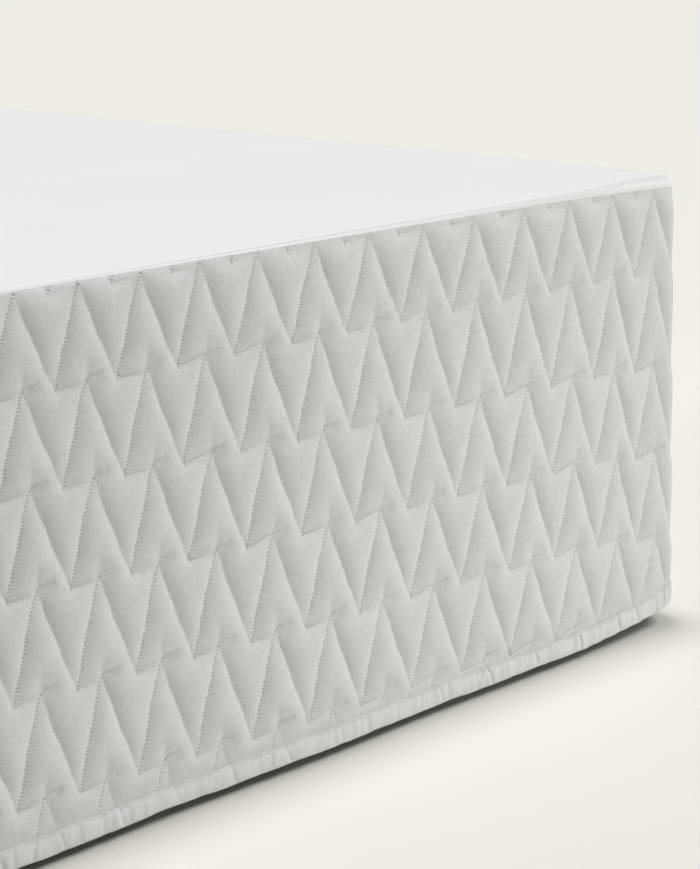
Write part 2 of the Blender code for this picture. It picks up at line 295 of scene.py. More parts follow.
def row_depth(place, run):
    """The depth of a place that is counted in rows."""
    place, run = np.broadcast_arrays(np.asarray(place, float), np.abs(run))
    index = np.clip(np.floor(place).astype(int), 0, len(ROWS) - 2)
    share = place - index
    by_row = np.stack([np.interp(run, ROW_RUNS, row[:4]) for row in ROWS])
    upper = np.take_along_axis(by_row, index[None], 0)[0]
    lower = np.take_along_axis(by_row, index[None] + 1, 0)[0]
    return upper + share * (lower - upper)


def end_fade(wall, x):
    """0 at a drop's ends and 1 away from them."""
    left, right = wall_ends(wall)
    return np.clip(np.minimum(x - left, right - x) / END_FADE, 0, 1)


def node_x(wall, node, place):
    """Where a node stands, on the line that starts at a place in rows."""
    run = column_run(np.asarray(node) / 2)
    share = np.clip(np.abs(run) / SLIP_RUN, 0, 1)
    rows = range(len(ROWS))
    slip_corner = np.interp(place, rows, [row.slip_corner for row in ROWS])
    slip_far = np.interp(place, rows, [row.slip_far for row in ROWS])
    x = wall.start_run - run
    return x - end_fade(wall, x) * (slip_corner + share * (slip_far - slip_corner))


def node_depth(wall, node, place):
    reach = REACH * (np.asarray(node) % 2)
    return row_depth(place + reach, wall.start_run - node_x(wall, node, place))


def node_point(wall, node, place):
    return node_x(wall, node, place), node_depth(wall, node, place)


def node_at(wall, x, place):
    """How many nodes x lies from the corner, with its share between two."""
    nodes = np.arange(FIRST_NODE, FIRST_NODE + NODES)
    return np.interp(-x, -node_x(wall, nodes, place), nodes)


def bow(wall, x, from_peak):
    """How far a leg bows to the left, a share of its way from its peak."""
    return BOW * end_fade(wall, x) * np.sin(math.pi * np.clip(from_peak, 0, 1) ** BOW_SKEW)


def sway(wall, x, depth):
    """How far the sewing strays to the right, as no hand steers quite straight."""
    strayed = 0.0
    for wide, deep, along, phase in SWAYS:
        strayed = strayed + wide * np.sin(math.tau * (depth / deep + x / along) / MM + phase)
    return strayed * MM * end_fade(wall, x)


def on_line(wall, at, place):
    """x and depth of the line that starts at a place, at counted nodes."""
    node = np.floor(at + ROUNDING).astype(int)
    share = at - node
    (x0, d0), (x1, d1) = (node_point(wall, n, place) for n in (node, node + 1))
    x = x0 + share * (x1 - x0)
    from_peak = np.where(node % 2 == 0, share, 1 - share)
    depth = d0 + share * (d1 - d0)
    return x - bow(wall, x, from_peak) + sway(wall, x, depth), depth


ends = [float(node_at(FOOT, x, 1)) for x in wall_ends(FOOT)]
print("peaks and valleys across the foot:", round(ends[0] - ends[1], 1))

# %% [markdown]
# ## How the filling swells
#
# Between two rows of stitching the filling pushes the cloth out. It acts as a
# skin under even pressure that is held down along the stitches: highest in the
# middle of a band, steep beside a stitch, low inside a sharp tip and full around
# the outside of it. That is the shape a soap film takes, and it is found by
# letting each point of a grid settle to the mean of its neighbours plus a small
# push, over and over. The cloth is also pulled into creases, where it is held
# down more softly: from each valley to the right, from each peak to the right,
# and straight up from each peak. The filling thins out beside the top seam and
# the binding.

# %% Sizes of the swell
CELL = 1.25 * MM
SETTLINGS = 170
PUFF = 4.5 * MM
BAND_HALF = 11.8 * MM
HELD = 1e4  # as good as fast
STITCHED = 0.55 * CELL  # a point this near the stitching is held fast
UNEVEN = ((0.14, 18), (0.12, 7))  # how much the push varies, and over how many cells
CREASE_HOLD = 6.0
CREASE_WIDTH = 1.0 * MM
SHORT_CREASE = 0.5  # of the way from a peak to the next valley
CREASE_RISE = 2.6 * MM
LEVEL = 0.75  # how much less a crease rises that doesn't reach the peak
MIDDLE_FADE = 0.3  # how much weaker a long crease is in its middle
JOINED_NEAR, JOINED_FAR = 0.9, 0.0  # the share of creases that reach the peak
CREASE_RANGE = (0.5, 1.4)  # the strength of the weakest and the strongest
CUT_CREASE = 0.35  # how strong the creases are that the top seam cuts off
PULL_HOLD = 1.6
PULL_LENGTH = 12 * MM
PULL_WIDTH = 1.8 * MM
EASE = 12 * MM  # the filling thins out this near the top seam and the binding
EASED = 0.35  # and this much of its swell is left there
BINDING_HOLD = 2.2 * MM  # below the binding's edge, where its sewing holds the drop
LAST_CELL = 1.001  # so that the last place of a grid still has a next one
SEEDS = {wall.name: 11 + 10 * n for n, wall in enumerate(WALLS)}
print("a grid point every", CELL / MM, "mm, and seeds", SEEDS)

# %% Soft shapes


def eased(share):
    """A share that starts and ends gently."""
    return share * share * (3 - 2 * share)


def bell(distance, width):
    """1 at no distance, and falling off smoothly over a width."""
    return np.exp(-((distance / width) ** 2))


def between(values, i, j, s, t):
    """Values of a grid, at shares s and t of the way past its points i and j."""
    upper = values[i, j] * (1 - t) + values[i, j + 1] * t
    lower = values[i + 1, j] * (1 - t) + values[i + 1, j + 1] * t
    return upper * (1 - s) + lower * s


def soft_noise(shape, step, seed):
    """Smooth random heights from -1 to 1 on a grid."""
    rng = np.random.default_rng(seed)
    coarse = rng.uniform(-1, 1, [max(2, math.ceil(n / step) + 2) for n in shape])
    places = [np.arange(n) / step for n in shape]
    low = [place.astype(int) for place in places]
    shares = [eased(place - i) for place, i in zip(places, low)]
    return between(coarse, *np.ix_(*low), *np.ix_(*shares))


# %% How far the cloth is from its sewing


def to_segment(x, depth, start, end):
    """Distance from points to a segment, how far along it the nearest point
    lies, from 0 to 1, and how far the points are below its line."""
    (x0, d0), (x1, d1) = start, end
    dx, dd = x1 - x0, d1 - d0
    share = ((x - x0) * dx + (depth - d0) * dd) / (dx * dx + dd * dd)
    share = np.clip(share, 0, 1)
    below = ((depth - d0) * dx - (x - x0) * dd) * np.sign(dx) / np.hypot(dx, dd)
    return np.hypot(x - x0 - share * dx, depth - d0 - share * dd), share, below


def leg_at(wall, x, row):
    """The leg of a row that x lies on: its first node, whether that is its
    peak, and its peak and valley."""
    node = np.floor(node_at(wall, x, row)).astype(int)
    first = node % 2 == 0
    return node, first, np.where(first, node, node + 1), np.where(first, node + 1, node)


def nearest_stitching(wall, x, depth):
    """Distance to the nearest stitching, the share of its leg from the peak,
    and 1 where that leg rises to the right. x is a column of values, and depth
    matches it or is a grid."""
    best = np.full(np.broadcast(x, depth).shape, 1.0)
    best_share, best_rising = np.zeros_like(best), np.zeros_like(best)
    unswayed = x - sway(wall, x, depth)
    for row in range(FIRST_ROW, LAST_ROW + 1):
        _, peak_first, peak, valley = leg_at(wall, x, row)
        leg = node_point(wall, peak, row), node_point(wall, valley, row)
        _, share, _ = to_segment(unswayed, depth, *leg)
        distance, share, _ = to_segment(unswayed + bow(wall, x, share), depth, *leg)
        nearer = distance < best
        best = np.where(nearer, distance, best)
        best_share = np.where(nearer, share, best_share)
        best_rising = np.where(nearer, peak_first, best_rising)
    return best, best_share, best_rising


def creases(wall, x, depth):
    """For each row's creases, the distance to them, how far below them the
    points are, and their hold there. No two creases are alike. A long one goes
    from a valley to the right, to the next peak or to a place below it, and a
    short one goes on from the peak."""
    rng = np.random.default_rng(SEEDS[wall.name])
    shape = (NODES, LAST_ROW - FIRST_ROW)
    strength, chance = rng.uniform(*CREASE_RANGE, shape), rng.uniform(0, 1, shape)
    strength[:, : 1 - FIRST_ROW] *= CUT_CREASE
    unswayed = x - sway(wall, x, depth)
    for row in range(FIRST_ROW, LAST_ROW):
        node, peak_first, peak, valley = leg_at(wall, x, row + 1)
        peak_x, peak_depth = node_point(wall, peak, row + 1)
        valley_x, valley_depth = node_point(wall, valley, row)
        own = (node - FIRST_NODE, row - FIRST_ROW)
        near = nearness(wall.start_run - peak_x)
        joined = chance[own] < JOINED_FAR + near * (JOINED_NEAR - JOINED_FAR)
        below_peak = np.where(peak_first & ~joined, LEVEL * (valley_depth - peak_depth), 0)
        short_x = peak_x + SHORT_CREASE * (valley_x - peak_x)
        end_x = np.where(peak_first, valley_x, short_x)
        end_depth = np.where(peak_first, valley_depth, peak_depth - CREASE_RISE)
        crease = (peak_x, peak_depth + below_peak), (end_x, end_depth)
        distance, share, below = to_segment(unswayed, depth, *crease)
        long = np.where(joined, 1 - MIDDLE_FADE * np.sin(math.pi * share), share)
        yield distance, below, np.where(peak_first, long, 1 - share) * strength[own]


def pulls(wall, x, depth):
    """The hold of the short upright pull that each peak makes above itself."""
    held = 0.0
    unswayed = x - sway(wall, x, depth)
    for row in range(FIRST_ROW, LAST_ROW + 1):
        peak = 2 * np.round(node_at(wall, x, row) / 2)
        peak_x, peak_depth = node_point(wall, peak, row)
        pull = (peak_x, peak_depth), (peak_x, peak_depth - PULL_LENGTH)
        away, share, _ = to_segment(unswayed, depth, *pull)
        held = held + PULL_HOLD * (1 - share) * bell(away, PULL_WIDTH)
    return held


middle = nearest_stitching(FOOT, np.zeros(1), np.full(1, HEM_DEPTH / 2))[0]
print("the middle of the foot lies", round(float(middle[0]) / MM, 1), "mm from its sewing")

# %% Settling the cloth between the stitches


def settle(wall):
    """The cloth's heights on a grid of x by depth, with the grid's values."""
    seed = SEEDS[wall.name]
    left, right = wall_ends(wall)
    xs = np.linspace(left, right, round((right - left) / CELL) + 1)
    depths = np.arange(0, HEM_DEPTH + CELL, CELL)
    x, depth = xs[:, None], depths[None, :]
    run = wall.start_run - x
    distance = nearest_stitching(wall, x, depth)[0]
    held = np.where(distance < STITCHED, HELD, 0.0)
    held = np.where(depth < seam_depth(run) + CELL / 2, HELD, held)
    held = np.where(depth > binding_depth(run) + BINDING_HOLD, HELD, held)
    held = held + pulls(wall, x, depth)
    for away, _, strength in creases(wall, x, depth):
        held = held + CREASE_HOLD * strength * bell(away, CREASE_WIDTH)
    push = 2 * PUFF / BAND_HALF**2 * CELL**2
    for number, (varies, cells) in enumerate(UNEVEN, 1):
        push = push * (1 + varies * soft_noise(held.shape, cells, seed + number))
    from_edge = np.minimum(depth - seam_depth(run), binding_depth(run) - depth)
    push = push * np.clip(from_edge / EASE, EASED, 1)
    height = np.zeros_like(held)
    for _ in range(SETTLINGS):
        total = push.copy()
        total[1:-1, 1:-1] += height[:-2, 1:-1] + height[2:, 1:-1]
        total[1:-1, 1:-1] += height[1:-1, :-2] + height[1:-1, 2:]
        height = total / (4 + held)
        height[[0, -1], :] = 0
        height[:, [0, -1]] = 0
    return xs, depths, height


def sample(grid, x, depth):
    """Heights between a grid's points."""
    xs, depths, height = grid
    across, down = (
        np.clip((places - line[0]) / (line[1] - line[0]), 0, len(line) - LAST_CELL)
        for places, line in ((x, xs), (depth, depths))
    )
    i, j = across.astype(int), down.astype(int)
    return between(height, i, j, across - i, down - j)


SETTLED = {wall.name: settle(wall) for wall in WALLS}
for name, grid in SETTLED.items():
    print(name, "filling swells to", round(grid[2].max() / MM, 2), "mm")

# %% [markdown]
# ## Putting numbers into a mesh
#
# Every cloth here is worked out as arrays of points and faces. One helper turns
# them into a mesh object with its own UV map, in metres of flat cloth, so that a
# weave keeps its size everywhere, and with extra values on its points where a
# finish needs them. A small angle between faces is smoothed over.

# %% Mesh helpers
SHARP = math.radians(55)


def mesh_object(name, points, faces, finish, flat=None, values=None, sharp=SHARP):
    mesh = bpy.data.meshes.new(name)
    mesh.from_pydata([tuple(p) for p in points], [], [tuple(f) for f in faces])
    mesh.update()
    if flat is not None:
        uv = mesh.uv_layers.new(name="cloth")
        corners = np.empty(len(mesh.loops), dtype=np.int32)
        mesh.loops.foreach_get("vertex_index", corners)
        uv.data.foreach_set("uv", np.asarray(flat, dtype=np.float32)[corners].ravel())
    for key, numbers in (values or {}).items():
        layer = mesh.attributes.new(key, "FLOAT", "POINT")
        layer.data.foreach_set("value", np.asarray(numbers, dtype=np.float32))
    mesh.shade_smooth()
    mesh.set_sharp_from_angle(angle=sharp)
    mesh.materials.append(finish)
    return add_object(name, mesh)


def face_outwards(made):
    bm = bmesh.new()
    bm.from_mesh(made.data)
    bmesh.ops.recalc_face_normals(bm, faces=bm.faces)
    bm.to_mesh(made.data)
    bm.free()


def strips(rows):
    """Quads between each row of points and the next."""
    pairs = zip(rows, rows[1:])
    return [quad for a, b in pairs for quad in zip(a[:-1], b[:-1], b[1:], a[1:])]


def triangles(made):
    return sum(len(p.vertices) - 2 for p in made.data.polygons)


# %% [markdown]
# ## The quilted drops
#
# The mesh of a drop follows its stitching: its columns stand at shares of each
# leg, and its rows run in zigzags parallel to the stitches, so every stitch line
# is a row of the mesh and stays sharp. Rows that rise above the top seam or sink
# behind the binding are gathered into one point of each column. The back is plain
# and needs only long strips.

# %% Columns and rows of a drop
Fineness = namedtuple("Fineness", "leg_steps row_steps")
FINE = {"foot": Fineness(16, 30), "right": Fineness(9, 20), "left": Fineness(9, 20)}
END_CLEAR = 0.02  # of a leg, the least space between a column and a drop's end
SNAP = 0.35 * MM
MARGIN_ROWS = (0.35, 1.0)  # of the plain margin that the binding hides
MARGIN_END = 1.5 * MM  # above the hem


def drop_columns(wall):
    """The mesh's columns, counted in nodes from the corner."""
    steps = FINE[wall.name].leg_steps
    high, low = (node_at(wall, x, 0) for x in wall_ends(wall))
    inner = np.arange(math.ceil(low * steps), math.floor(high * steps) + 1) / steps
    inner = inner[(inner > low + END_CLEAR) & (inner < high - END_CLEAR)]
    return np.concatenate([[low], inner, [high]])[::-1]


def drop_points(wall):
    """The front's points: x, depth and height on a grid of columns and rows,
    and which rows of each column are real."""
    at = drop_columns(wall)
    steps = FINE[wall.name].row_steps
    places = np.arange(FIRST_ROW * steps, LAST_ROW * steps + 1) / steps
    lines = [on_line(wall, at, place) for place in places]
    x = np.stack([line[0] for line in lines], axis=1)
    depth = np.stack([line[1] for line in lines], axis=1)
    x[0], x[-1] = wall_ends(wall)
    run = wall.start_run - x
    top, bottom = seam_depth(run), binding_depth(run) + GAP
    height = sample(SETTLED[wall.name], x, depth)
    height[:, np.isclose(places % 1, 0)] = 0
    first = np.argmax(depth > top + SNAP, axis=1) - 1
    last = depth.shape[1] - np.argmax((depth < bottom - SNAP)[:, ::-1], axis=1)
    rows = np.arange(len(x))
    for edge, line in ((first, top), (last, bottom)):
        depth[rows, edge] = line[rows, edge]
        height[rows, edge] = sample(SETTLED[wall.name], x[rows, edge], line[rows, edge])
    return x, depth, height, first, last


# %% What the finish knows of a drop
FAR_AWAY = 0.05
CREASE_REACH = 9 * MM  # the finish draws no crease farther off than this
# painted shade in the needle holes, which also sets how deep they dent: plainer on rising legs than
# on falling ones, and less on rising legs near the corner
RISING_HOLE_SHADE, FALLING_HOLE_SHADE = 0.95, 0.2  # how plainly the needle holes of a leg show
HOLE_SHADE_CLOSE = 0.6  # how much less the first do at the corner
STITCH_PITCH = 2.5 * MM
LEG_LENGTH = math.hypot(COLUMN / 2, REACH * (ROWS[3].far - ROWS[2].far))
STITCHES_IN_LEG = round(LEG_LENGTH / STITCH_PITCH)
print("stitches in a leg:", STITCHES_IN_LEG)


def nearest_crease(wall, x, depth):
    """How far points lie below their nearest crease, and its strength."""
    nearest, below_nearest, crease = FAR_AWAY, FAR_AWAY, 0.0
    for away, below, strength in creases(wall, x, depth):
        nearer = away < nearest
        nearest = np.where(nearer, away, nearest)
        below_nearest = np.where(nearer, below, below_nearest)
        crease = np.where(nearer, strength * (away < CREASE_REACH), crease)
    return below_nearest, crease


def drop_values(wall, x, depth, hidden):
    """What the finish needs at each point, with no stitches on the hidden ones."""
    distance, share, rising = nearest_stitching(wall, x, depth)
    below_crease, crease = nearest_crease(wall, x, depth)
    # the painted shade in the needle holes is less near the foot's right corner
    less_shade = HOLE_SHADE_CLOSE * nearness(wall.start_run - x)
    return {
        "from_stitch": np.where(hidden, FAR_AWAY, distance),
        "stitches": share * STITCHES_IN_LEG,
        "hole_shade": np.where(rising, RISING_HOLE_SHADE - less_shade, FALLING_HOLE_SHADE),
        "below_crease": np.where(hidden, FAR_AWAY, below_crease),
        "crease": crease,
    }


# %% Mesh of a drop


def drop_front(first, last, down):
    """The real points of the front, an index for every place of its grid, and
    its faces, where gathered corners count once."""
    across = len(first)
    row = np.clip(np.arange(down)[None, :], first[:, None], last[:, None])
    key = np.arange(across)[:, None] * down + row
    used, index = np.unique(key, return_inverse=True)
    index = index.reshape(key.shape)
    faces = [[a for a, b in zip(quad, np.roll(quad, 1)) if a != b] for quad in strips(index)]
    return used, index, [face for face in faces if len(face) > 2]


def drop_mesh(wall, finish):
    """The drop's front, the margin behind the binding, its back and its sides."""
    x, depth, height, first, last = drop_points(wall)
    across, down = depth.shape
    used, index, faces = drop_front(first, last, down)
    i, j = used // down, used % down
    front = x[i, j], depth[i, j], height[i, j]
    x = x[:, down // 2]  # the margins and the back take the middle row's x
    run = wall.start_run - x
    upper, hem = binding_depth(run) + GAP, hem_depth(run) - MARGIN_END
    level, behind = np.zeros(across), np.full(across, -QUILT_THICKNESS)
    rest = [(x, upper + share * (hem - upper), level) for share in MARGIN_ROWS]
    rest += [(x, hem, behind), (x, seam_depth(run), behind)]
    columns = np.arange(across)
    rows = [len(used) + number * across + columns for number in range(len(rest))]
    faces += strips([index[columns, last], *rows, index[columns, first]])
    faces += [[*dict.fromkeys(index[n]), *(row[n] for row in rows)] for n in (0, across - 1)]
    x, depth, height = (np.concatenate(parts) for parts in zip(front, *rest))
    points, flat = hang(wall, x, depth, height), np.stack([x, -depth], 1)
    values = drop_values(wall, x, depth, np.arange(len(x)) >= len(used))
    made = mesh_object(f"quilted_{wall.name}", points, faces, finish, flat, values)
    face_outwards(made)
    return made


print("the foot's columns:", len(drop_columns(FOOT)))

# %% [markdown]
# ## Writing a finish
#
# A finish is a small tree of shader nodes. To keep it readable, a socket is
# wrapped in a class that understands +, -, * and /, so that a pattern can be
# written as a sum. Every other node comes from one method that is given the
# node's type, its settings and what goes into it.

# %% Sums of sockets


class Wire:
    """A socket that takes part in sums as a number does."""

    def __init__(self, tree, socket):
        self.tree = tree
        self.socket = socket

    def work(self, operation, *others):
        inputs = dict(enumerate((self, *others)))
        return self.tree.node("ShaderNodeMath", {"operation": operation}, inputs)

    def __add__(self, other):
        return self.work("ADD", other)

    def __sub__(self, other):
        return self.work("SUBTRACT", other)

    def __mul__(self, other):
        return self.work("MULTIPLY", other)

    def __truediv__(self, other):
        return self.work("DIVIDE", other)

    def __rsub__(self, other):
        return (self * -1) + other

    __radd__ = __add__
    __rmul__ = __mul__

    def sine(self):
        return self.work("SINE")

    def wave(self):
        """Its sine, moved to lie between 0 and 1."""
        return self.sine() * 0.5 + 0.5

    def within(self, width):
        """1 on a line, falling to 0 a width away from it."""
        return (1.0 - self / width).clamped()

    def size(self):
        return self.work("ABSOLUTE")

    def clamped(self):
        return self.work("MAXIMUM", 0.0).work("MINIMUM", 1.0)

    def power(self, exponent):
        return self.work("POWER", exponent)


class Tree:
    """A tree of nodes, which grows by one call a node."""

    def __init__(self, tree):
        self.tree = tree

    def node(self, kind, settings=None, inputs=None, output=0):
        made = self.tree.nodes.new(kind)
        for key, value in (settings or {}).items():
            setattr(made, key, value)
        for key, value in (inputs or {}).items():
            self.feed(made.inputs[key], value)
        return Wire(self, made.outputs[output])

    def feed(self, socket, value):
        if isinstance(value, Wire):
            self.tree.links.new(value.socket, socket)
        else:
            socket.default_value = value

    def split(self, place):
        """The three parts of a place."""
        first = self.node("ShaderNodeSeparateXYZ", None, {0: place})
        return [Wire(self, output) for output in first.socket.node.outputs]


# %% A material and its patterns
SHEEN_ROUGHNESS = 0.5
SHINE = 0.3


class Finish(Tree):
    """A material with a tree of nodes round one Principled shader."""

    def __init__(self, name, roughness, sheen=0.0):
        self.material = bpy.data.materials.new(name)
        self.material.use_nodes = True
        super().__init__(self.material.node_tree)
        self.shader = self.tree.nodes["Principled BSDF"]
        self.shader.inputs["Roughness"].default_value = roughness
        self.shader.inputs["Sheen Weight"].default_value = sheen
        self.shader.inputs["Sheen Roughness"].default_value = SHEEN_ROUGHNESS
        self.shader.inputs["Specular IOR Level"].default_value = SHINE

    def cloth_places(self):
        """Metres of flat cloth, to the right and up."""
        place = self.node("ShaderNodeUVMap", {"uv_map": "cloth"})
        right, up, _ = self.split(place)
        return place, right, up

    def object_places(self):
        """Metres in the bed's frame."""
        return self.node("ShaderNodeTexCoord", None, None, "Object")

    def value(self, name):
        return self.node("ShaderNodeAttribute", {"attribute_name": name}, None, "Fac")

    def stretched(self, place, scale):
        return self.node("ShaderNodeVectorMath", {"operation": "MULTIPLY"}, {0: place, 1: scale})

    def noise(self, place, scale=1.0, detail=2.0):
        inputs = {"Vector": place, "Scale": scale, "Detail": detail}
        return self.node("ShaderNodeTexNoise", None, inputs)

    def blend(self, share, first, second):
        """Two colours mixed by a share."""
        inputs = {0: share, 6: first, 7: second}
        return self.node("ShaderNodeMix", {"data_type": "RGBA"}, inputs, 2)

    def colour(self, value):
        self.feed(self.shader.inputs["Base Color"], value)

    def relief(self, height, depth):
        """Bump of a height from 0 to 1, so many metres deep."""
        inputs = {"Height": height, "Distance": depth, "Strength": 1.0}
        bump = self.node("ShaderNodeBump", None, inputs)
        self.feed(self.shader.inputs["Normal"], bump)


# %% [markdown]
# ## The quilting's finish
#
# The face is a fine plain weave in a pale warm grey. Some of its yarns are a
# little thicker or darker along part of their length, which shows as faint
# streaks both ways. At each needle hole a small dark dot of painted shade sits in
# the stitch line, plainer on the rising legs than on the falling ones, and the
# cloth is drawn into a tiny pucker beside it. The drop knows, at each point, how
# far the nearest stitch line is and how many stitches lie between it and the
# peak, so the dots fall between the stitches all over. Two tables give each
# pattern its weight: one for the shade between two tones, one for the relief.

# %% Weave, streaks and their weights
YARN = 0.5 * MM
STREAKS = {(70.0, 820.0, 1.0): 0.55, (820.0, 70.0, 1.0): 0.45}  # level and upright, with parts


def weave(right, up, yarn):
    """Over and under of a plain weave, from 0 to 1."""
    turns = math.tau / (2 * yarn)
    over = (right * turns).sine() * (up * turns).sine()
    return over * 0.5 + 0.5


def stacked(patterns, weights):
    """Patterns added up with their weights."""
    return sum([patterns[name] * weight for name, weight in weights.items()], 0.0)


def mottled(patterns, weights):
    """The same for patterns about 0.5, as a share that mixes two tones."""
    return sum([(patterns[name] - 0.5) * part for name, part in weights.items()], 0.5).clamped()


def streaks(finish, place):
    """Faint thick yarns, level and upright, about 0.5."""
    noises = {way: finish.noise(finish.stretched(place, way), detail=1.0) for way in STREAKS}
    return stacked(noises, STREAKS)


# %% The quilting's tones, needle holes and relief
QUILT_NOISES = {"slubs": (760.0, 1.0), "cloud": (22.0, 3.0), "blotches": (230.0, 2.0)}
QUILT_SHADES = {"yarns": 1.5, "slubs": 0.9, "cloud": 0.6, "blotches": 0.8}
QUILT_TONES = (0.583, 0.574, 0.566, 1), (0.680, 0.670, 0.660, 1)
QUILT_BUMPS = {
    "weave": 0.06,
    "yarns": 0.32,
    "slubs": 0.36,
    "blotches": 0.8,
    "wrinkles": 1.6,
    "pucker": 1.1,
    "hole_and_shade": -0.9,
    "fold": -5.0,
}
QUILT_RELIEF = 0.16 * MM
WRINKLES = (60.0, 210.0, 1.0)
# painted shade: the dark colour of the dot in each needle hole
HOLE_SHADE_TONE = (0.19, 0.18, 0.17, 1)
HOLE_SHADE_DARKNESS, HOLE_FALL, HOLE_WIDTH = 0.55, 2.5, 1.4 * MM
PUCKER_FALL, PUCKER_WIDTH = 1.5, 4.5 * MM
FOLD_FALL, FOLD_WIDTH = 1.6, 2.4 * MM


def quilting_finish():
    finish = Finish("quilted_cloth", roughness=0.86, sheen=0.15)
    place, right, up = finish.cloth_places()
    patterns = {name: finish.noise(place, *size) for name, size in QUILT_NOISES.items()}
    patterns |= {"yarns": streaks(finish, place), "weave": weave(right, up, YARN)}
    patterns["wrinkles"] = finish.noise(finish.stretched(place, WRINKLES))
    away, off_crease = finish.value("from_stitch"), finish.value("below_crease").size()
    turn = (finish.value("stitches") * math.tau + math.pi / 2).wave()
    hole_and_shade = turn.power(HOLE_FALL) * away.within(HOLE_WIDTH) * finish.value("hole_shade")
    patterns["hole_and_shade"] = hole_and_shade
    patterns["pucker"] = away.within(PUCKER_WIDTH).power(PUCKER_FALL) * (1.0 - turn)
    patterns["fold"] = off_crease.within(FOLD_WIDTH).power(FOLD_FALL) * finish.value("crease")
    cloth = finish.blend(mottled(patterns, QUILT_SHADES), *QUILT_TONES)
    # painted shade: each needle hole's dot is mixed towards a dark tone
    finish.colour(finish.blend(hole_and_shade * HOLE_SHADE_DARKNESS, cloth, HOLE_SHADE_TONE))
    finish.relief(stacked(patterns, QUILT_BUMPS), QUILT_RELIEF)
    return finish.material


QUILTING = quilting_finish()
drops = {wall.name: drop_mesh(wall, QUILTING) for wall in WALLS}
for name, drop in drops.items():
    print(name, "drop:", triangles(drop), "triangles")

# %% [markdown]
# ## Stitches by Geometry Nodes
#
# A stitch is a short dash of thread that dips into the cloth at both ends. There
# are tens of thousands, all alike, so they are one small shape placed on points.
# The points carry two directions: along the stitch line, and out of the cloth.
# The tree turns the shape to them, makes it real and gives it its thread.

# %% The tree that sews
SEWING_INPUTS = (
    ("Geometry", "NodeSocketGeometry"),
    ("Length", "NodeSocketFloat"),
    ("Width", "NodeSocketFloat"),
    ("Height", "NodeSocketFloat"),
    ("Thread", "NodeSocketMaterial"),
)
DASH = {"Segments": 3, "Rings": 2, "Radius": 0.5}


def sewing_tree():
    group = bpy.data.node_groups.new("sewing", "GeometryNodeTree")
    for label, kind in SEWING_INPUTS:
        group.interface.new_socket(label, in_out="INPUT", socket_type=kind)
    group.interface.new_socket("Geometry", in_out="OUTPUT", socket_type="NodeSocketGeometry")
    tree = Tree(group)
    given = {label: tree.node("NodeGroupInput", None, None, label) for label, _ in SEWING_INPUTS}
    dash = tree.node("GeometryNodeMeshUVSphere", None, DASH)
    axes = {"X": given["Height"], "Y": given["Width"], "Z": given["Length"]}
    stitch = {"Instance": dash, "Scale": tree.node("ShaderNodeCombineXYZ", None, axes)}
    turned_so = {}
    for axis, pivot, name in (("Z", "AUTO", "heading"), ("X", "Z", "outward")):
        kind, settings = "GeometryNodeInputNamedAttribute", {"data_type": "FLOAT_VECTOR"}
        inputs = {"Vector": tree.node(kind, settings, {"Name": name}, "Attribute"), **turned_so}
        kind, settings = "FunctionNodeAlignRotationToVector", {"axis": axis, "pivot_axis": pivot}
        turned_so = {"Rotation": tree.node(kind, settings, inputs)}
    inputs = {"Points": given["Geometry"], **stitch, **turned_so}
    sewn = tree.node("GeometryNodeInstanceOnPoints", None, inputs)
    sewn = tree.node("GeometryNodeRealizeInstances", None, {"Geometry": sewn})
    inputs = {"Geometry": sewn, "Material": given["Thread"]}
    sewn = tree.node("GeometryNodeSetMaterial", None, inputs)
    tree.feed(group.nodes.new("NodeGroupOutput").inputs["Geometry"], sewn)
    return group


SEWING = sewing_tree()


def sew(name, points, heading, out, sizes, thread):
    """Stitches of one size at the points, as a plain mesh."""
    mesh = bpy.data.meshes.new(name)
    mesh.from_pydata([tuple(p) for p in points], [], [])
    for key, directions in (("heading", heading), ("outward", out)):
        layer = mesh.attributes.new(key, "FLOAT_VECTOR", "POINT")
        layer.data.foreach_set("vector", np.asarray(directions, dtype=np.float32).ravel())
    holder = add_object(name, mesh)
    modifier = holder.modifiers.new("sewing", "NODES")
    modifier.node_group = SEWING
    inputs = {s.name: s.identifier for s in SEWING.interface.items_tree if s.in_out == "INPUT"}
    for label, value in zip(("Length", "Width", "Height"), sizes):
        modifier[inputs[label]] = value
    modifier[inputs["Thread"]] = thread
    depsgraph = bpy.context.evaluated_depsgraph_get()
    real = bpy.data.meshes.new_from_object(holder.evaluated_get(depsgraph))
    real.name = name
    bpy.data.objects.remove(holder, do_unlink=True)
    real.shade_smooth()
    return add_object(name, real)


# %% The quilting stitches
QUILT_STITCH = (2.25 * MM, 0.75 * MM, 0.48 * MM)  # length, width, height
SLANT = 0.35  # sideways for each length ahead, as the thread is pulled
STITCH_HEIGHT = 0.10 * MM  # of a stitch's middle, above the cloth
LOOK_AHEAD = 0.4  # of a stitch, to find the way it goes
END_MARGIN = 1.0 * MM  # no stitch stands closer to a drop's sides or top
BINDING_MARGIN = 0.3 * MM
THREAD_TONES = (0.66, 0.65, 0.64, 1), (0.78, 0.77, 0.76, 1)
THREAD_RELIEF = 0.05 * MM
TWIST = (900.0, 1.0)  # scale and detail


def thread_finish():
    finish = Finish("sewing_thread", roughness=0.6, sheen=0.1)
    twist = finish.noise(finish.object_places(), *TWIST)
    finish.colour(finish.blend(twist, *THREAD_TONES))
    finish.relief(twist, THREAD_RELIEF)
    return finish.material


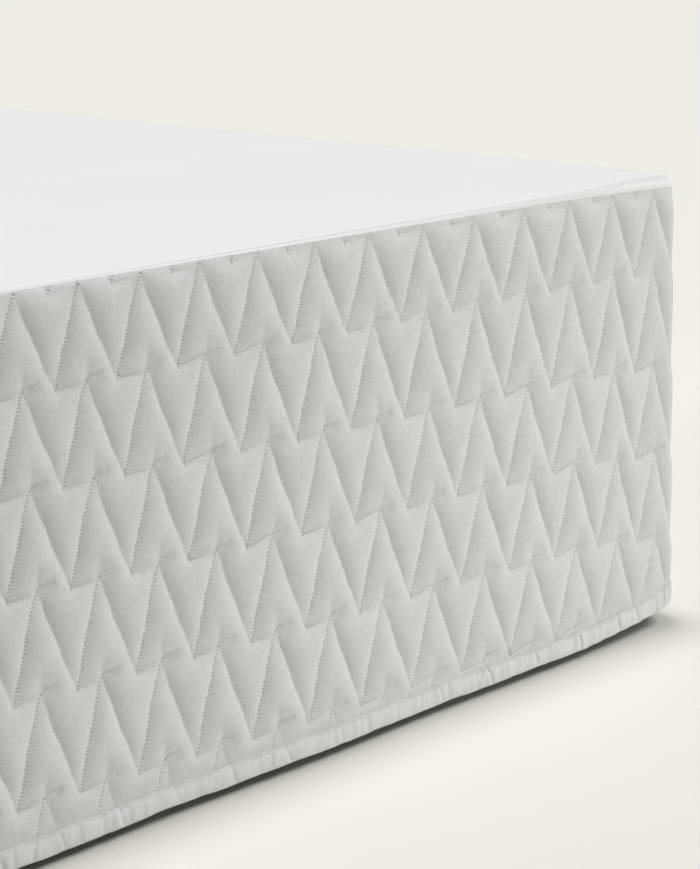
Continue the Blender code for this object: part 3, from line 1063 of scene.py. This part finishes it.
def quilting_stitches(wall, thread):
    """A stitch for every pitch of every leg that shows."""
    left, right = wall_ends(wall)
    shares = (np.arange(STITCHES_IN_LEG) + 0.5) / STITCHES_IN_LEG
    first, last = math.ceil(node_at(wall, right, 0)) - 1, math.floor(node_at(wall, left, 0))
    points, headings, outs = [], [], []
    for row in range(FIRST_ROW, LAST_ROW + 1):
        for node in range(first, last + 1):
            x, depth = on_line(wall, node + shares, row)
            ahead = on_line(wall, node + shares + LOOK_AHEAD / STITCHES_IN_LEG, row)
            run = wall.start_run - x
            keep = (x > left + END_MARGIN) & (x < right - END_MARGIN)
            keep &= depth > seam_depth(run) + END_MARGIN
            keep &= depth < binding_depth(run) - BINDING_MARGIN
            here = hang(wall, x, depth, STITCH_HEIGHT)
            heading = hang(wall, *ahead, STITCH_HEIGHT) - here
            out = outward(wall, x)
            points.append(here[keep])
            headings.append((heading + SLANT * np.cross(heading, out))[keep])
            outs.append(out[keep])
    stacked = [np.concatenate(part) for part in (points, headings, outs)]
    return sew(f"stitches_{wall.name}", *stacked, QUILT_STITCH, thread)


THREAD = thread_finish()
stitching = {wall.name: quilting_stitches(wall, THREAD) for wall in WALLS}
for name, sewn in stitching.items():
    print(name, "stitches:", triangles(sewn), "triangles")

# %% [markdown]
# ## The binding
#
# The binding is a strip of plain cloth folded round the hem, its upper edge
# turned under and topstitched. It is drawn as one thin closed section that is
# carried along the hem. Its front is never quite flat: it is full between the
# topstitching and the hem, it is drawn into slanting folds where a stitched leg
# runs under it, and round the corner it bunches into soft upright folds.

# %% Section of the binding
BINDING_THICKNESS = 1.0 * MM
BINDING_STEP = {"foot": 0.65 * MM, "right": 2.6 * MM, "left": 2.6 * MM}
BINDING_SHARP = math.radians(70)
TOPSTITCH = 1.2 * MM  # below the binding's upper edge
TOP_PITCH = 2.8 * MM
TURN_UNDER = 0.5 * MM
FULLNESS = 0.9 * MM  # how far the front swells between the edge and the hem
FULL_REACH, FULL_POWER = 1.05, 0.7  # it ends just above the hem, blunter than a sine
THINNEST = 0.4 * MM
SOFT_FOLDS = 0.8 * MM
FREE_AT_EDGE, FREE_RISE = 0.1, 5  # how freely the front folds at its edge, and how that grows
LEG_DRAG = 1.25 * MM  # how deep a quilting leg draws the binding in
DRAG_WIDTH = 1.8 * MM
FALLING_DRAG, RISING_DRAG = 1.0, 0.45
DRAG_LEVEL, DRAG_VARIES, DRAG_WAVE = 0.7, 0.6, 40 * MM  # how strong, give or take, and how long
CORNER_FOLD = 3.4 * MM  # how deep the corner's folds lie
CORNER_FOLDS = 6.6 * MM  # from one to the next
CORNER_SLANT, CORNER_START = 0.45, 0.3  # of that: how far a fold slants, and the first one's place
CORNER_RUN, CORNER_REACH = 24 * MM, 1.4  # full near the corner, and gone 1.4 runs away
SCALLOP = 0.45 * MM  # how deep each topstitch dents the upper edge
EDGE_WAVE = 0.9 * MM  # how far the upper edge sinks at most
EDGE_WAVE_LENGTH = 11 * MM
SEWN_PRESS = 0.45 * MM  # how deep the topstitching presses the cloth
EDGE_PRESS = 0.5 * MM  # how thin the upper edge is pressed
PRESS_SHARE = 0.05  # of the front's height, on either side
HEM_WAVE = 0.9 * MM
HEM_WAVES = ((0.6, 27 * MM), (0.4, 9 * MM))  # the part and the length of each
FOLD_WAVES = ((0.6, 9 * MM), (0.4, 4 * MM))
FRONT_SHARES = (0.0, 0.04, 0.09, 0.15, 0.2, 0.28, 0.37, 0.46, 0.55, 0.64, 0.73, 0.81, 0.88)
HEM_ANGLES = (20, 45, 70, 90, 115, 150)
HEM_ROUND = 1.9 * MM
BACK_START = 3 * MM  # above the hem
HEM_INSIDE = 1.3 * MM  # above the hem
WAVE_STEP = 0.125  # of a wave's length

# %% Waves and folds of the binding


def waves(x, length, seed):
    """Smooth random heights from -1 to 1 along a hem, about a length apart."""
    places = (x - x[0]) / length
    rng = np.random.default_rng(seed)
    heights = rng.uniform(-1, 1, math.ceil(places[-1]) + 2)
    fine = np.arange(0, places[-1] + 1, WAVE_STEP)
    index = fine.astype(int)
    ease = eased(fine - index)
    return np.interp(places, fine, heights[index] * (1 - ease) + heights[index + 1] * ease)


def mixed_waves(x, parts, seed):
    """Waves of several lengths, each with its part."""
    return sum(part * waves(x, length, seed + n) for n, (part, length) in enumerate(parts))


def leg_drag(wall, x, depth, seed):
    """How strongly the legs that are sewn over in the binding draw it in."""
    distance, _, rising = nearest_stitching(wall, x, depth)
    strength = DRAG_LEVEL + DRAG_VARIES * waves(x, DRAG_WAVE, seed)
    return np.where(rising, RISING_DRAG, FALLING_DRAG) * strength * bell(distance, DRAG_WIDTH)


def corner_folds(wall, x, share):
    """Folds where the binding turns the foot's right corner, as depths from 0 to
    1. They slant a little, away from the corner at the hem."""
    run = np.abs(wall.start_run - x)
    turns = run / CORNER_FOLDS - CORNER_SLANT * share + CORNER_START
    fold = 0.5 - 0.5 * np.cos(math.tau * turns)
    return np.clip(CORNER_REACH - run / CORNER_RUN, 0, 1) * fold**2


def binding_edges(wall, x, seed):
    """The depths of the binding's upper edge and of its hem, both a bit wavy."""
    run = wall.start_run - x
    away = end_fade(wall, x)
    scallop = SCALLOP * (0.5 - 0.5 * np.cos(math.tau * x / TOP_PITCH))
    sunk = EDGE_WAVE * (0.5 + 0.5 * waves(x, EDGE_WAVE_LENGTH, seed + 2)) * away
    hem = HEM_WAVE * mixed_waves(x, HEM_WAVES, seed + 3) * away
    return binding_depth(run) + GAP + sunk + scallop, hem_depth(run) + hem


# %% Mesh of the binding


def binding_section(wall, x, seed):
    """Rows of depth and height round the strip, for all x at once."""
    top, hem = binding_edges(wall, x, seed)
    front, inner = GAP + BINDING_THICKNESS, -QUILT_THICKNESS - GAP
    back = inner - BINDING_THICKNESS
    flat = np.zeros_like(x)
    folds = SOFT_FOLDS * mixed_waves(x, FOLD_WAVES, seed)
    section = [(top + TURN_UNDER, flat + GAP), (top, flat + GAP + TURN_UNDER / 2)]
    for share in FRONT_SHARES:
        depth = top + share * (hem - top)
        full = FULLNESS * math.sin(math.pi * min(1, share * FULL_REACH)) ** FULL_POWER
        full -= SEWN_PRESS * bell(share - TOPSTITCH / BINDING_HEIGHT, PRESS_SHARE)
        full -= EDGE_PRESS * bell(share, PRESS_SHARE)
        swell = folds - LEG_DRAG * leg_drag(wall, x, depth, seed + 5)
        swell -= CORNER_FOLD * corner_folds(wall, x, share)
        height = front + full + min(1.0, share * FREE_RISE + FREE_AT_EDGE) * swell
        section.append((depth, np.maximum(height, GAP + THINNEST)))
    middle, wide = (front + back) / 2, (front - back) / 2
    for turn in np.radians(HEM_ANGLES):
        depth = hem - HEM_ROUND * (1 - math.sin(turn))
        section.append((depth, flat + middle + wide * math.cos(turn)))
    section += [(hem - BACK_START, flat + back), (top, flat + back), (top, flat + inner)]
    return section + [(hem - HEM_INSIDE, flat + inner), (hem - HEM_INSIDE, flat + GAP)]


def binding_mesh(wall, finish, seed):
    """The strip's section carried along the hem, closed round and at both ends."""
    left, right = wall_ends(wall)
    x = np.linspace(left, right, round((right - left) / BINDING_STEP[wall.name]) + 1)
    section = binding_section(wall, x, seed)
    around, across = len(section), len(x)
    depth = np.stack([part[0] for part in section], axis=1)
    height = np.stack([part[1] for part in section], axis=1)
    grid_x = np.broadcast_to(x[:, None], depth.shape)
    points = hang(wall, grid_x, depth, height).reshape(-1, 3)
    girth = np.cumsum(np.hypot(np.diff(depth, axis=1), np.diff(height, axis=1)), axis=1)
    girth = np.concatenate([np.zeros((across, 1)), girth], axis=1)
    flat = np.stack([grid_x, -girth], axis=-1).reshape(-1, 2)
    index = np.arange(across * around).reshape(across, around)
    faces = strips(np.concatenate([index, index[:, :1]], axis=1)) + [index[0], index[-1]]
    below = (depth - depth[:, 1:2]).ravel()
    values = {"below_edge": np.where(height.ravel() > 0, below, FAR_AWAY)}
    name = f"bound_{wall.name}"
    made = mesh_object(name, points, faces, finish, flat, values, BINDING_SHARP)
    face_outwards(made)
    return made


# %% The binding's finish and topstitching
TOP_STITCH = (3.6 * MM, 0.55 * MM, 0.45 * MM)
TOP_SLANT = 1.3  # up for each length to the right
TOP_START = 0.25  # of a pitch, from the end of the binding
TOP_HEIGHT = 0.30 * MM  # of a stitch's middle, above the cloth
TOP_AHEAD = 0.4 * MM
BINDING_SHADES, BINDING_BUMPS = {"yarns": 1.4}, {"weave": 0.08, "yarns": 0.2, "swell": 1.6}
BINDING_TONES = (0.640, 0.633, 0.625, 1), (0.730, 0.722, 0.713, 1)
BINDING_RELIEF = 0.15 * MM
# painted shade: dark slanting ticks in the small folds beside the topstitching
TICK_SHADE_TONE = (0.24, 0.23, 0.22, 1)
TICK_SHADE_DARKNESS = 0.30
TICK_WIDTH = 2.6 * MM
TICK_PATCHES = (46.0, 5.0, 1.0)
PATCH_CONTRAST, PATCH_LEVEL = 3.4, 1.2


def binding_finish():
    finish = Finish("binding_cloth", roughness=0.8, sheen=0.1)
    place, right, up = finish.cloth_places()
    below = finish.value("below_edge")
    patches = finish.noise(finish.stretched(place, TICK_PATCHES)) * PATCH_CONTRAST - PATCH_LEVEL
    near = (below - TOPSTITCH).size().within(TICK_WIDTH) * patches.clamped()
    turn = ((right + below * (1 / TOP_SLANT)) * (math.tau / TOP_PITCH)).wave()
    patterns = {"yarns": streaks(finish, place), "weave": weave(right, up, YARN)}
    patterns["swell"] = near * (1.0 - turn)
    cloth = finish.blend(mottled(patterns, BINDING_SHADES), *BINDING_TONES)
    # painted shade: the cloth is coloured darker between the small swells beside the topstitching
    finish.colour(finish.blend(near * turn * TICK_SHADE_DARKNESS, cloth, TICK_SHADE_TONE))
    finish.relief(stacked(patterns, BINDING_BUMPS), BINDING_RELIEF)
    return finish.material


def topstitches(wall, thread, seed):
    """A row of slanting stitches just below the binding's upper edge."""
    left, right = wall_ends(wall)
    count = round((right - left) / TOP_PITCH)
    x = left + (np.arange(count) + TOP_START) * TOP_PITCH
    x = x[(x > left + END_MARGIN) & (x < right - END_MARGIN)]
    depth = binding_edges(wall, x, seed)[0] + TOPSTITCH
    height = GAP + BINDING_THICKNESS + TOP_HEIGHT
    here, ahead = (
        hang(wall, x + step, depth - step * TOP_SLANT, height) for step in (0.0, TOP_AHEAD)
    )
    return sew(f"topstitches_{wall.name}", here, ahead - here, outward(wall, x), TOP_STITCH, thread)


BINDING = binding_finish()
HEM_SEEDS = {wall.name: 71 + 10 * n for n, wall in enumerate(WALLS)}
bindings = {wall.name: binding_mesh(wall, BINDING, HEM_SEEDS[wall.name]) for wall in WALLS}
topstitching = {wall.name: topstitches(wall, THREAD, HEM_SEEDS[wall.name]) for wall in WALLS}
for name in bindings:
    print(name, "binding:", triangles(bindings[name]), "+", triangles(topstitching[name]))

# %% [markdown]
# ## The deck cloth
#
# The deck is a smooth white cloth that lies on the base and folds over its edge
# down to the seam. Its mesh is a grid whose outer ring follows the round corners,
# with its lines close together near the edge, where the cloth dips a little
# behind its fold. The folded edge hangs as the drops do, and its colour is
# painted darker down the folded edge, most just below the fold, as painted shade.

# %% Grid of the deck
EDGE_LINES = (0.0, 1.2, 2.4, 3.6, 4.8, 5.7, 6.5, 7.3, 8.2, 10.0, 13.0, 18.0, 24.0, 32.0)  # in mm
DECK_STEP = 12.0 * MM
DECK_THICKNESS = 1.2 * MM
FOLD_SHARES = (0.06, 0.15, 0.27, 0.4, 0.55, 0.7, 0.85, 1.0)
SEAM_GAP = 0.05 * MM
FOLD_SHARE = 0.6  # of the seam's depth, where the fold is done
CORNER_FOLD_MORE = 0.55  # how much rounder it is at the very corner
FOLD_SPREAD = 3.0  # how much faster a fold widens than it deepens
WIDEST_FOLD = 12.2 * MM
DARKEST_FOLD_SHARE = 0.12  # of the way down, where the painted shade on the folded edge is darkest
FOLD_SWELL = 0.5 * MM  # below the fold the edge stands this proud
DENT = 0.8 * MM  # the cloth dips this deep behind the fold
DENT_INSET = 2.4 * MM
DENT_WIDTH = 1.4 * MM
DENT_RUN = 0.024  # it ends this far from a corner, more or less
DENT_LEAST = 0.2  # of its depth, far from the foot's right corner
DENT_LEVEL, DENT_VARIES, DENT_WAVES = 0.75, 0.35, ((31, 17), (13, -41))
DECK_WAVES = 0.35 * MM
DECK_WAVE_LINES, DECK_WAVE_SEED = 11, 5
LEVEL_EDGE = 0.05  # the waves fade over this much beside the edge
DECK_SHARP = math.radians(80)


def edge_spaced(low, high, folded_at_end):
    """Grid lines from low to high, close together beside a folded edge."""
    edge = np.array(EDGE_LINES) * MM
    start = low + edge
    end = (high - edge)[::-1] if folded_at_end else np.array([high])
    inner = np.linspace(start[-1], end[0], round((end[0] - start[-1]) / DECK_STEP) + 1)[1:-1]
    return np.concatenate([start, inner, end])


def folded_edge(wall, x, share):
    """Points of the deck's folded edge, a share of the way from its top to the
    seam. The fold is rounder near the corner, where the seam lies deeper."""
    x = np.asarray(x, float)
    run = wall.start_run - x
    depth = share * (seam_depth(run) - SEAM_GAP)
    tall = np.maximum(FOLD, FOLD_SHARE * seam_depth(run) * (1 + CORNER_FOLD_MORE * lift(run)))
    wide = np.minimum(FOLD + FOLD_SPREAD * (tall - FOLD), WIDEST_FOLD)
    done = np.clip(depth / tall, 0, 1)
    inward = wide * (1 - np.sqrt(1 - (1 - done) ** 2))
    proud = FOLD_SWELL * np.sin(math.pi * share) * (tall - FOLD) / FOLD
    return off_wall(wall, x, drape(run, depth) - inward + proud, DECK_TOP - depth)


def across_deck(foot, head, left, right, s, t):
    """The grid between four edges that meet at their ends."""
    s, t = s[:, None, None], t[None, :, None]
    level = (1 - t) * foot[:, None] + t * head[:, None]
    upright = (1 - s) * left[None] + s * right[None]
    twice = (1 - t) * ((1 - s) * foot[0] + s * foot[-1]) + t * ((1 - s) * head[0] + s * head[-1])
    return level + upright - twice


def deck_grid():
    """Points of the deck's top, and how far each lies inside its edge and away
    from its corners."""
    across = edge_spaced(*wall_ends(FOOT), folded_at_end=True)
    along = edge_spaced(*wall_ends(RIGHT), folded_at_end=False)
    foot = folded_edge(FOOT, across, 0.0)
    left, right = folded_edge(LEFT, -along, 0.0), folded_edge(RIGHT, along, 0.0)
    left[0], right[0] = foot[0], foot[-1]
    s = (across - across[0]) / np.ptp(across)
    t = (along - along[0]) / np.ptp(along)
    head = left[-1] + s[:, None] * (right[-1] - left[-1])
    points = across_deck(foot, head, left, right, s, t)
    beside = np.minimum(across - across[0], across[-1] - across)
    behind = (along - along[0])[None, :]
    inset = np.minimum(beside[:, None], behind)
    from_corner = np.maximum(beside[:, None], behind)
    ring = [(FOOT, i, 0, value) for i, value in enumerate(across)]
    ring += [(RIGHT, len(across) - 1, j, value) for j, value in enumerate(along) if j]
    ring = [(LEFT, 0, j, -value) for j, value in enumerate(along) if j][::-1] + ring
    return points, inset, from_corner, ring


def deck_height(points, inset, from_corner):
    """A shallow dip behind the fold, and faint waves over the middle."""
    x, y = points[..., 0], points[..., 1]
    uneven = DENT_LEVEL + DENT_VARIES * math.prod(np.sin(x * a + y * b) for a, b in DENT_WAVES)
    near = DENT_LEAST + (1 - DENT_LEAST) * nearness(WALL_X - x)
    near = near * np.clip(from_corner / DENT_RUN - 0.5, 0, 1)
    dent = DENT * uneven * bell(inset - DENT_INSET, DENT_WIDTH)
    faint = DECK_WAVES * soft_noise(x.shape, DECK_WAVE_LINES, DECK_WAVE_SEED)
    return np.where(inset > 0, faint * np.clip(inset / LEVEL_EDGE, 0, 1) - near * dent, 0.0)


# %% Mesh of the deck


def deck_mesh(finish):
    """The deck's top and, all round but at the head, its folded edge."""
    points, inset, from_corner, ring = deck_grid()
    points[..., 2] += deck_height(points, inset, from_corner)
    index = np.arange(points[..., 0].size).reshape(points.shape[:2])
    levels, rows = [points.reshape(-1, 3)], [[index[i, j] for _, i, j, _ in ring]]
    for number, share in enumerate(FOLD_SHARES):
        levels.append(np.array([folded_edge(wall, value, share) for wall, _, _, value in ring]))
        rows.append(index.size + number * len(ring) + np.arange(len(ring)))
    faces = strips(index) + strips(rows)
    sizes = [len(level) for level in levels]
    points = np.concatenate(levels)
    fold_down = DECK_TOP - np.minimum(points[:, 2], DECK_TOP)
    flat = points[:, :2] * (1 + fold_down[:, None])
    shares = np.array([0.0, *FOLD_SHARES])
    # painted shade: the folded edge is coloured darker, most just below the fold
    fold_shade = np.repeat(np.clip(shares / DARKEST_FOLD_SHARE, 0, 1) * (1 - shares), sizes)
    made = mesh_object("deck_cloth", points, faces, finish, flat, {"fold_shade": fold_shade}, DECK_SHARP)
    face_outwards(made)
    if made.data.polygons[0].normal.z < 0:  # an open sheet may come out facing down
        made.data.flip_normals()
    solid = made.modifiers.new("thickness", "SOLIDIFY")
    solid.thickness = DECK_THICKNESS
    solid.offset = -1.0
    return made


# %% The deck's finish
DECK_YARN = 0.6 * MM
DECK_CLOUD = (5.0, 3.0)  # scale and detail
DECK_SHADES, DECK_BUMPS = {"yarns": 0.6, "cloud": 0.8}, {"weave": 0.4, "yarns": 0.6}
DECK_TONES = (0.855, 0.848, 0.836, 1), (0.900, 0.893, 0.882, 1)
DECK_RELIEF = 0.03 * MM
# painted shade on the deck's folded edge
FOLD_SHADE_TONE = (0.600, 0.594, 0.583, 1)


def deck_finish():
    finish = Finish("white_deck_cloth", roughness=0.82, sheen=0.1)
    place, right, up = finish.cloth_places()
    patterns = {"yarns": streaks(finish, place), "weave": weave(right, up, DECK_YARN)}
    patterns["cloud"] = finish.noise(place, *DECK_CLOUD)
    cloth = finish.blend(mottled(patterns, DECK_SHADES), *DECK_TONES)
    # painted shade: the folded edge is mixed towards a darker tone
    finish.colour(finish.blend(finish.value("fold_shade"), cloth, FOLD_SHADE_TONE))
    finish.relief(stacked(patterns, DECK_BUMPS), DECK_RELIEF)
    return finish.material


DECK = deck_finish()
deck = deck_mesh(DECK)
print("deck:", triangles(deck), "triangles before its thickness")

# %% [markdown]
# ## The bed base and its glides
#
# Little of the base ever shows: its head end, and a dark line under the hem. The
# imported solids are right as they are, so they keep their shape and only get a
# finish: a coarse upholstery weave for the base, and moulded plastic for the
# glides.

# %% Finishes of the base
COARSE_YARN = 1.6 * MM
FIBRES, GRAIN = (420.0, 3.0), (650.0, 2.0)  # scale and detail
BASE_SHADES, BASE_BUMPS = {"weave": 0.5, "fibres": 0.5}, {"weave": 0.6, "fibres": 0.5}
BASE_RELIEF, PLASTIC_RELIEF = 0.4 * MM, 0.06 * MM
PLASTIC_ROUGHNESS, PLASTIC_VARIES = 0.35, 0.25
BASE_TONES = (0.30, 0.285, 0.265, 1), (0.47, 0.45, 0.42, 1)
PLASTIC_TONES = (0.020, 0.020, 0.021, 1), (0.045, 0.045, 0.046, 1)


def upholstery_finish():
    finish = Finish("base_upholstery", roughness=0.92, sheen=0.25)
    place = finish.object_places()
    right, deep, up = finish.split(place)
    patterns = {"weave": weave(right + deep, up, COARSE_YARN)}
    patterns["fibres"] = finish.noise(place, *FIBRES)
    finish.colour(finish.blend(mottled(patterns, BASE_SHADES), *BASE_TONES))
    finish.relief(stacked(patterns, BASE_BUMPS), BASE_RELIEF)
    return finish.material


def plastic_finish():
    finish = Finish("glide_plastic", roughness=PLASTIC_ROUGHNESS)
    grain = finish.noise(finish.object_places(), *GRAIN)
    finish.colour(finish.blend(grain, *PLASTIC_TONES))
    roughness = grain * PLASTIC_VARIES + PLASTIC_ROUGHNESS
    finish.feed(finish.shader.inputs["Roughness"], roughness)
    finish.relief(grain, PLASTIC_RELIEF)
    return finish.material


UPHOLSTERY, PLASTIC = upholstery_finish(), plastic_finish()
for node, solid in frame["nodes"].items():
    if node == "base_box" or node.startswith("glide_"):
        finish = UPHOLSTERY if node == "base_box" else PLASTIC
        for slot in solid.material_slots:
            slot.material = finish
print("the base and its glides keep their solids")

# %% [markdown]
# ## What each cloth stands for
#
# Each fine cloth replaces its plain solid, which is hidden, and belongs to the one
# body of the model. The stitches go with the cloth that they are sewn through.


def hand_over(piece, slot, *nodes):
    """Gives a piece its body and hides the solids it stands for. The slot is not used."""
    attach(piece, BODY)
    if nodes:
        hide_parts(*nodes)


hand_over(deck, "white_deck_cloth", "deck")
for wall in WALLS:
    left, right = wall_ends(wall)
    drop, bound = drops[wall.name], bindings[wall.name]
    sewn, top_sewn = stitching[wall.name], topstitching[wall.name]
    hand_over(drop, "warm_grey_quilting", f"drop_{wall.name}")
    hand_over(bound, "pale_grey_binding", f"binding_{wall.name}")
    hand_over(sewn, "warm_grey_quilting")
    hand_over(top_sewn, "pale_grey_binding")
    right - left
    right - left
print("pieces handed over")

# %% [markdown]
# ## Floor and light
#
# The photograph has a warm white ground with no horizon, so the floor is one wide
# plane. Its colour is painted a little darker before the skirt, as painted shade
# against the low panel's light and the light the skirt throws back there. A large
# soft sun from the front right, a little above, gives each stitch line a bright
# left side and a dark right one. A second sun straight above brings the deck up to
# white, a low panel lights the foot from its right, and a faint even sky fills the
# rest.

# %% The stage
FLOOR_HALF = 30.0
# painted shade: the floor is darker near the skirt, and has its plain colour farther off
FLOOR_SHADE_TONES = (0.716, 0.694, 0.654, 1), (0.870, 0.845, 0.795, 1)
NEAR_FLOOR_Y, FAR_FLOOR_Y = -1.02, -0.40
SKY_STRENGTH = 0.055
SEEN_SKY = 0.83  # as pale as the floor, past whose far end it shows
SKY_TONE = (1.0, 0.998, 0.995, 1)


def add_floor():
    corners = [(x * FLOOR_HALF, y * FLOOR_HALF, 0) for x, y in ((-1, -1), (1, -1), (1, 1), (-1, 1))]
    finish = Finish("floor_paint", roughness=0.9)
    _, back, _ = finish.split(finish.object_places())
    far = (back - NEAR_FLOOR_Y) / (FAR_FLOOR_Y - NEAR_FLOOR_Y)
    # painted shade: the floor's colour darkens towards the skirt
    finish.colour(finish.blend(far.clamped(), *FLOOR_SHADE_TONES))
    mesh_object("floor", corners, [(0, 1, 2, 3)], finish.material)


def add_sky():
    """An even faint light from all round, which itself looks pale."""
    world = bpy.data.worlds.new("sky")
    world.use_nodes = True
    tree = Tree(world.node_tree)
    background = world.node_tree.nodes["Background"]
    background.inputs["Color"].default_value = SKY_TONE
    seen = tree.node("ShaderNodeLightPath", None, None, "Is Camera Ray")
    strength = seen * (SEEN_SKY - SKY_STRENGTH) + SKY_STRENGTH
    tree.feed(background.inputs["Strength"], strength)
    bpy.context.scene.world = world


def add_light(kind, name, towards, energy, **settings):
    """A light that shines from the side that it is turned towards."""
    data = bpy.data.lights.new(name, kind)
    data.energy = energy
    for key, value in settings.items():
        setattr(data, key, value)
    light = add_object(name, data)
    light.rotation_euler = Vector(towards).to_track_quat("Z", "Y").to_euler()
    return light


add_floor()
add_sky()
add_light("SUN", "window", (0.36, -0.30, 0.60), 2.03, angle=math.radians(30))
add_light("SUN", "ceiling", (0.0, 0.078, 0.997), 1.47, angle=math.radians(10))
PANEL = {"shape": "RECTANGLE", "size": 0.9, "size_y": 0.36, "spread": math.radians(110)}
PANEL_PLACE = Vector((0.60, -2.15, 0.24))
LIT_PLACE = Vector((0.42, -0.96, 0.22))
panel = add_light("AREA", "low_panel", PANEL_PLACE - LIT_PLACE, 1.8, **PANEL)
panel.location = PANEL_PLACE
print("floor and lights are set")
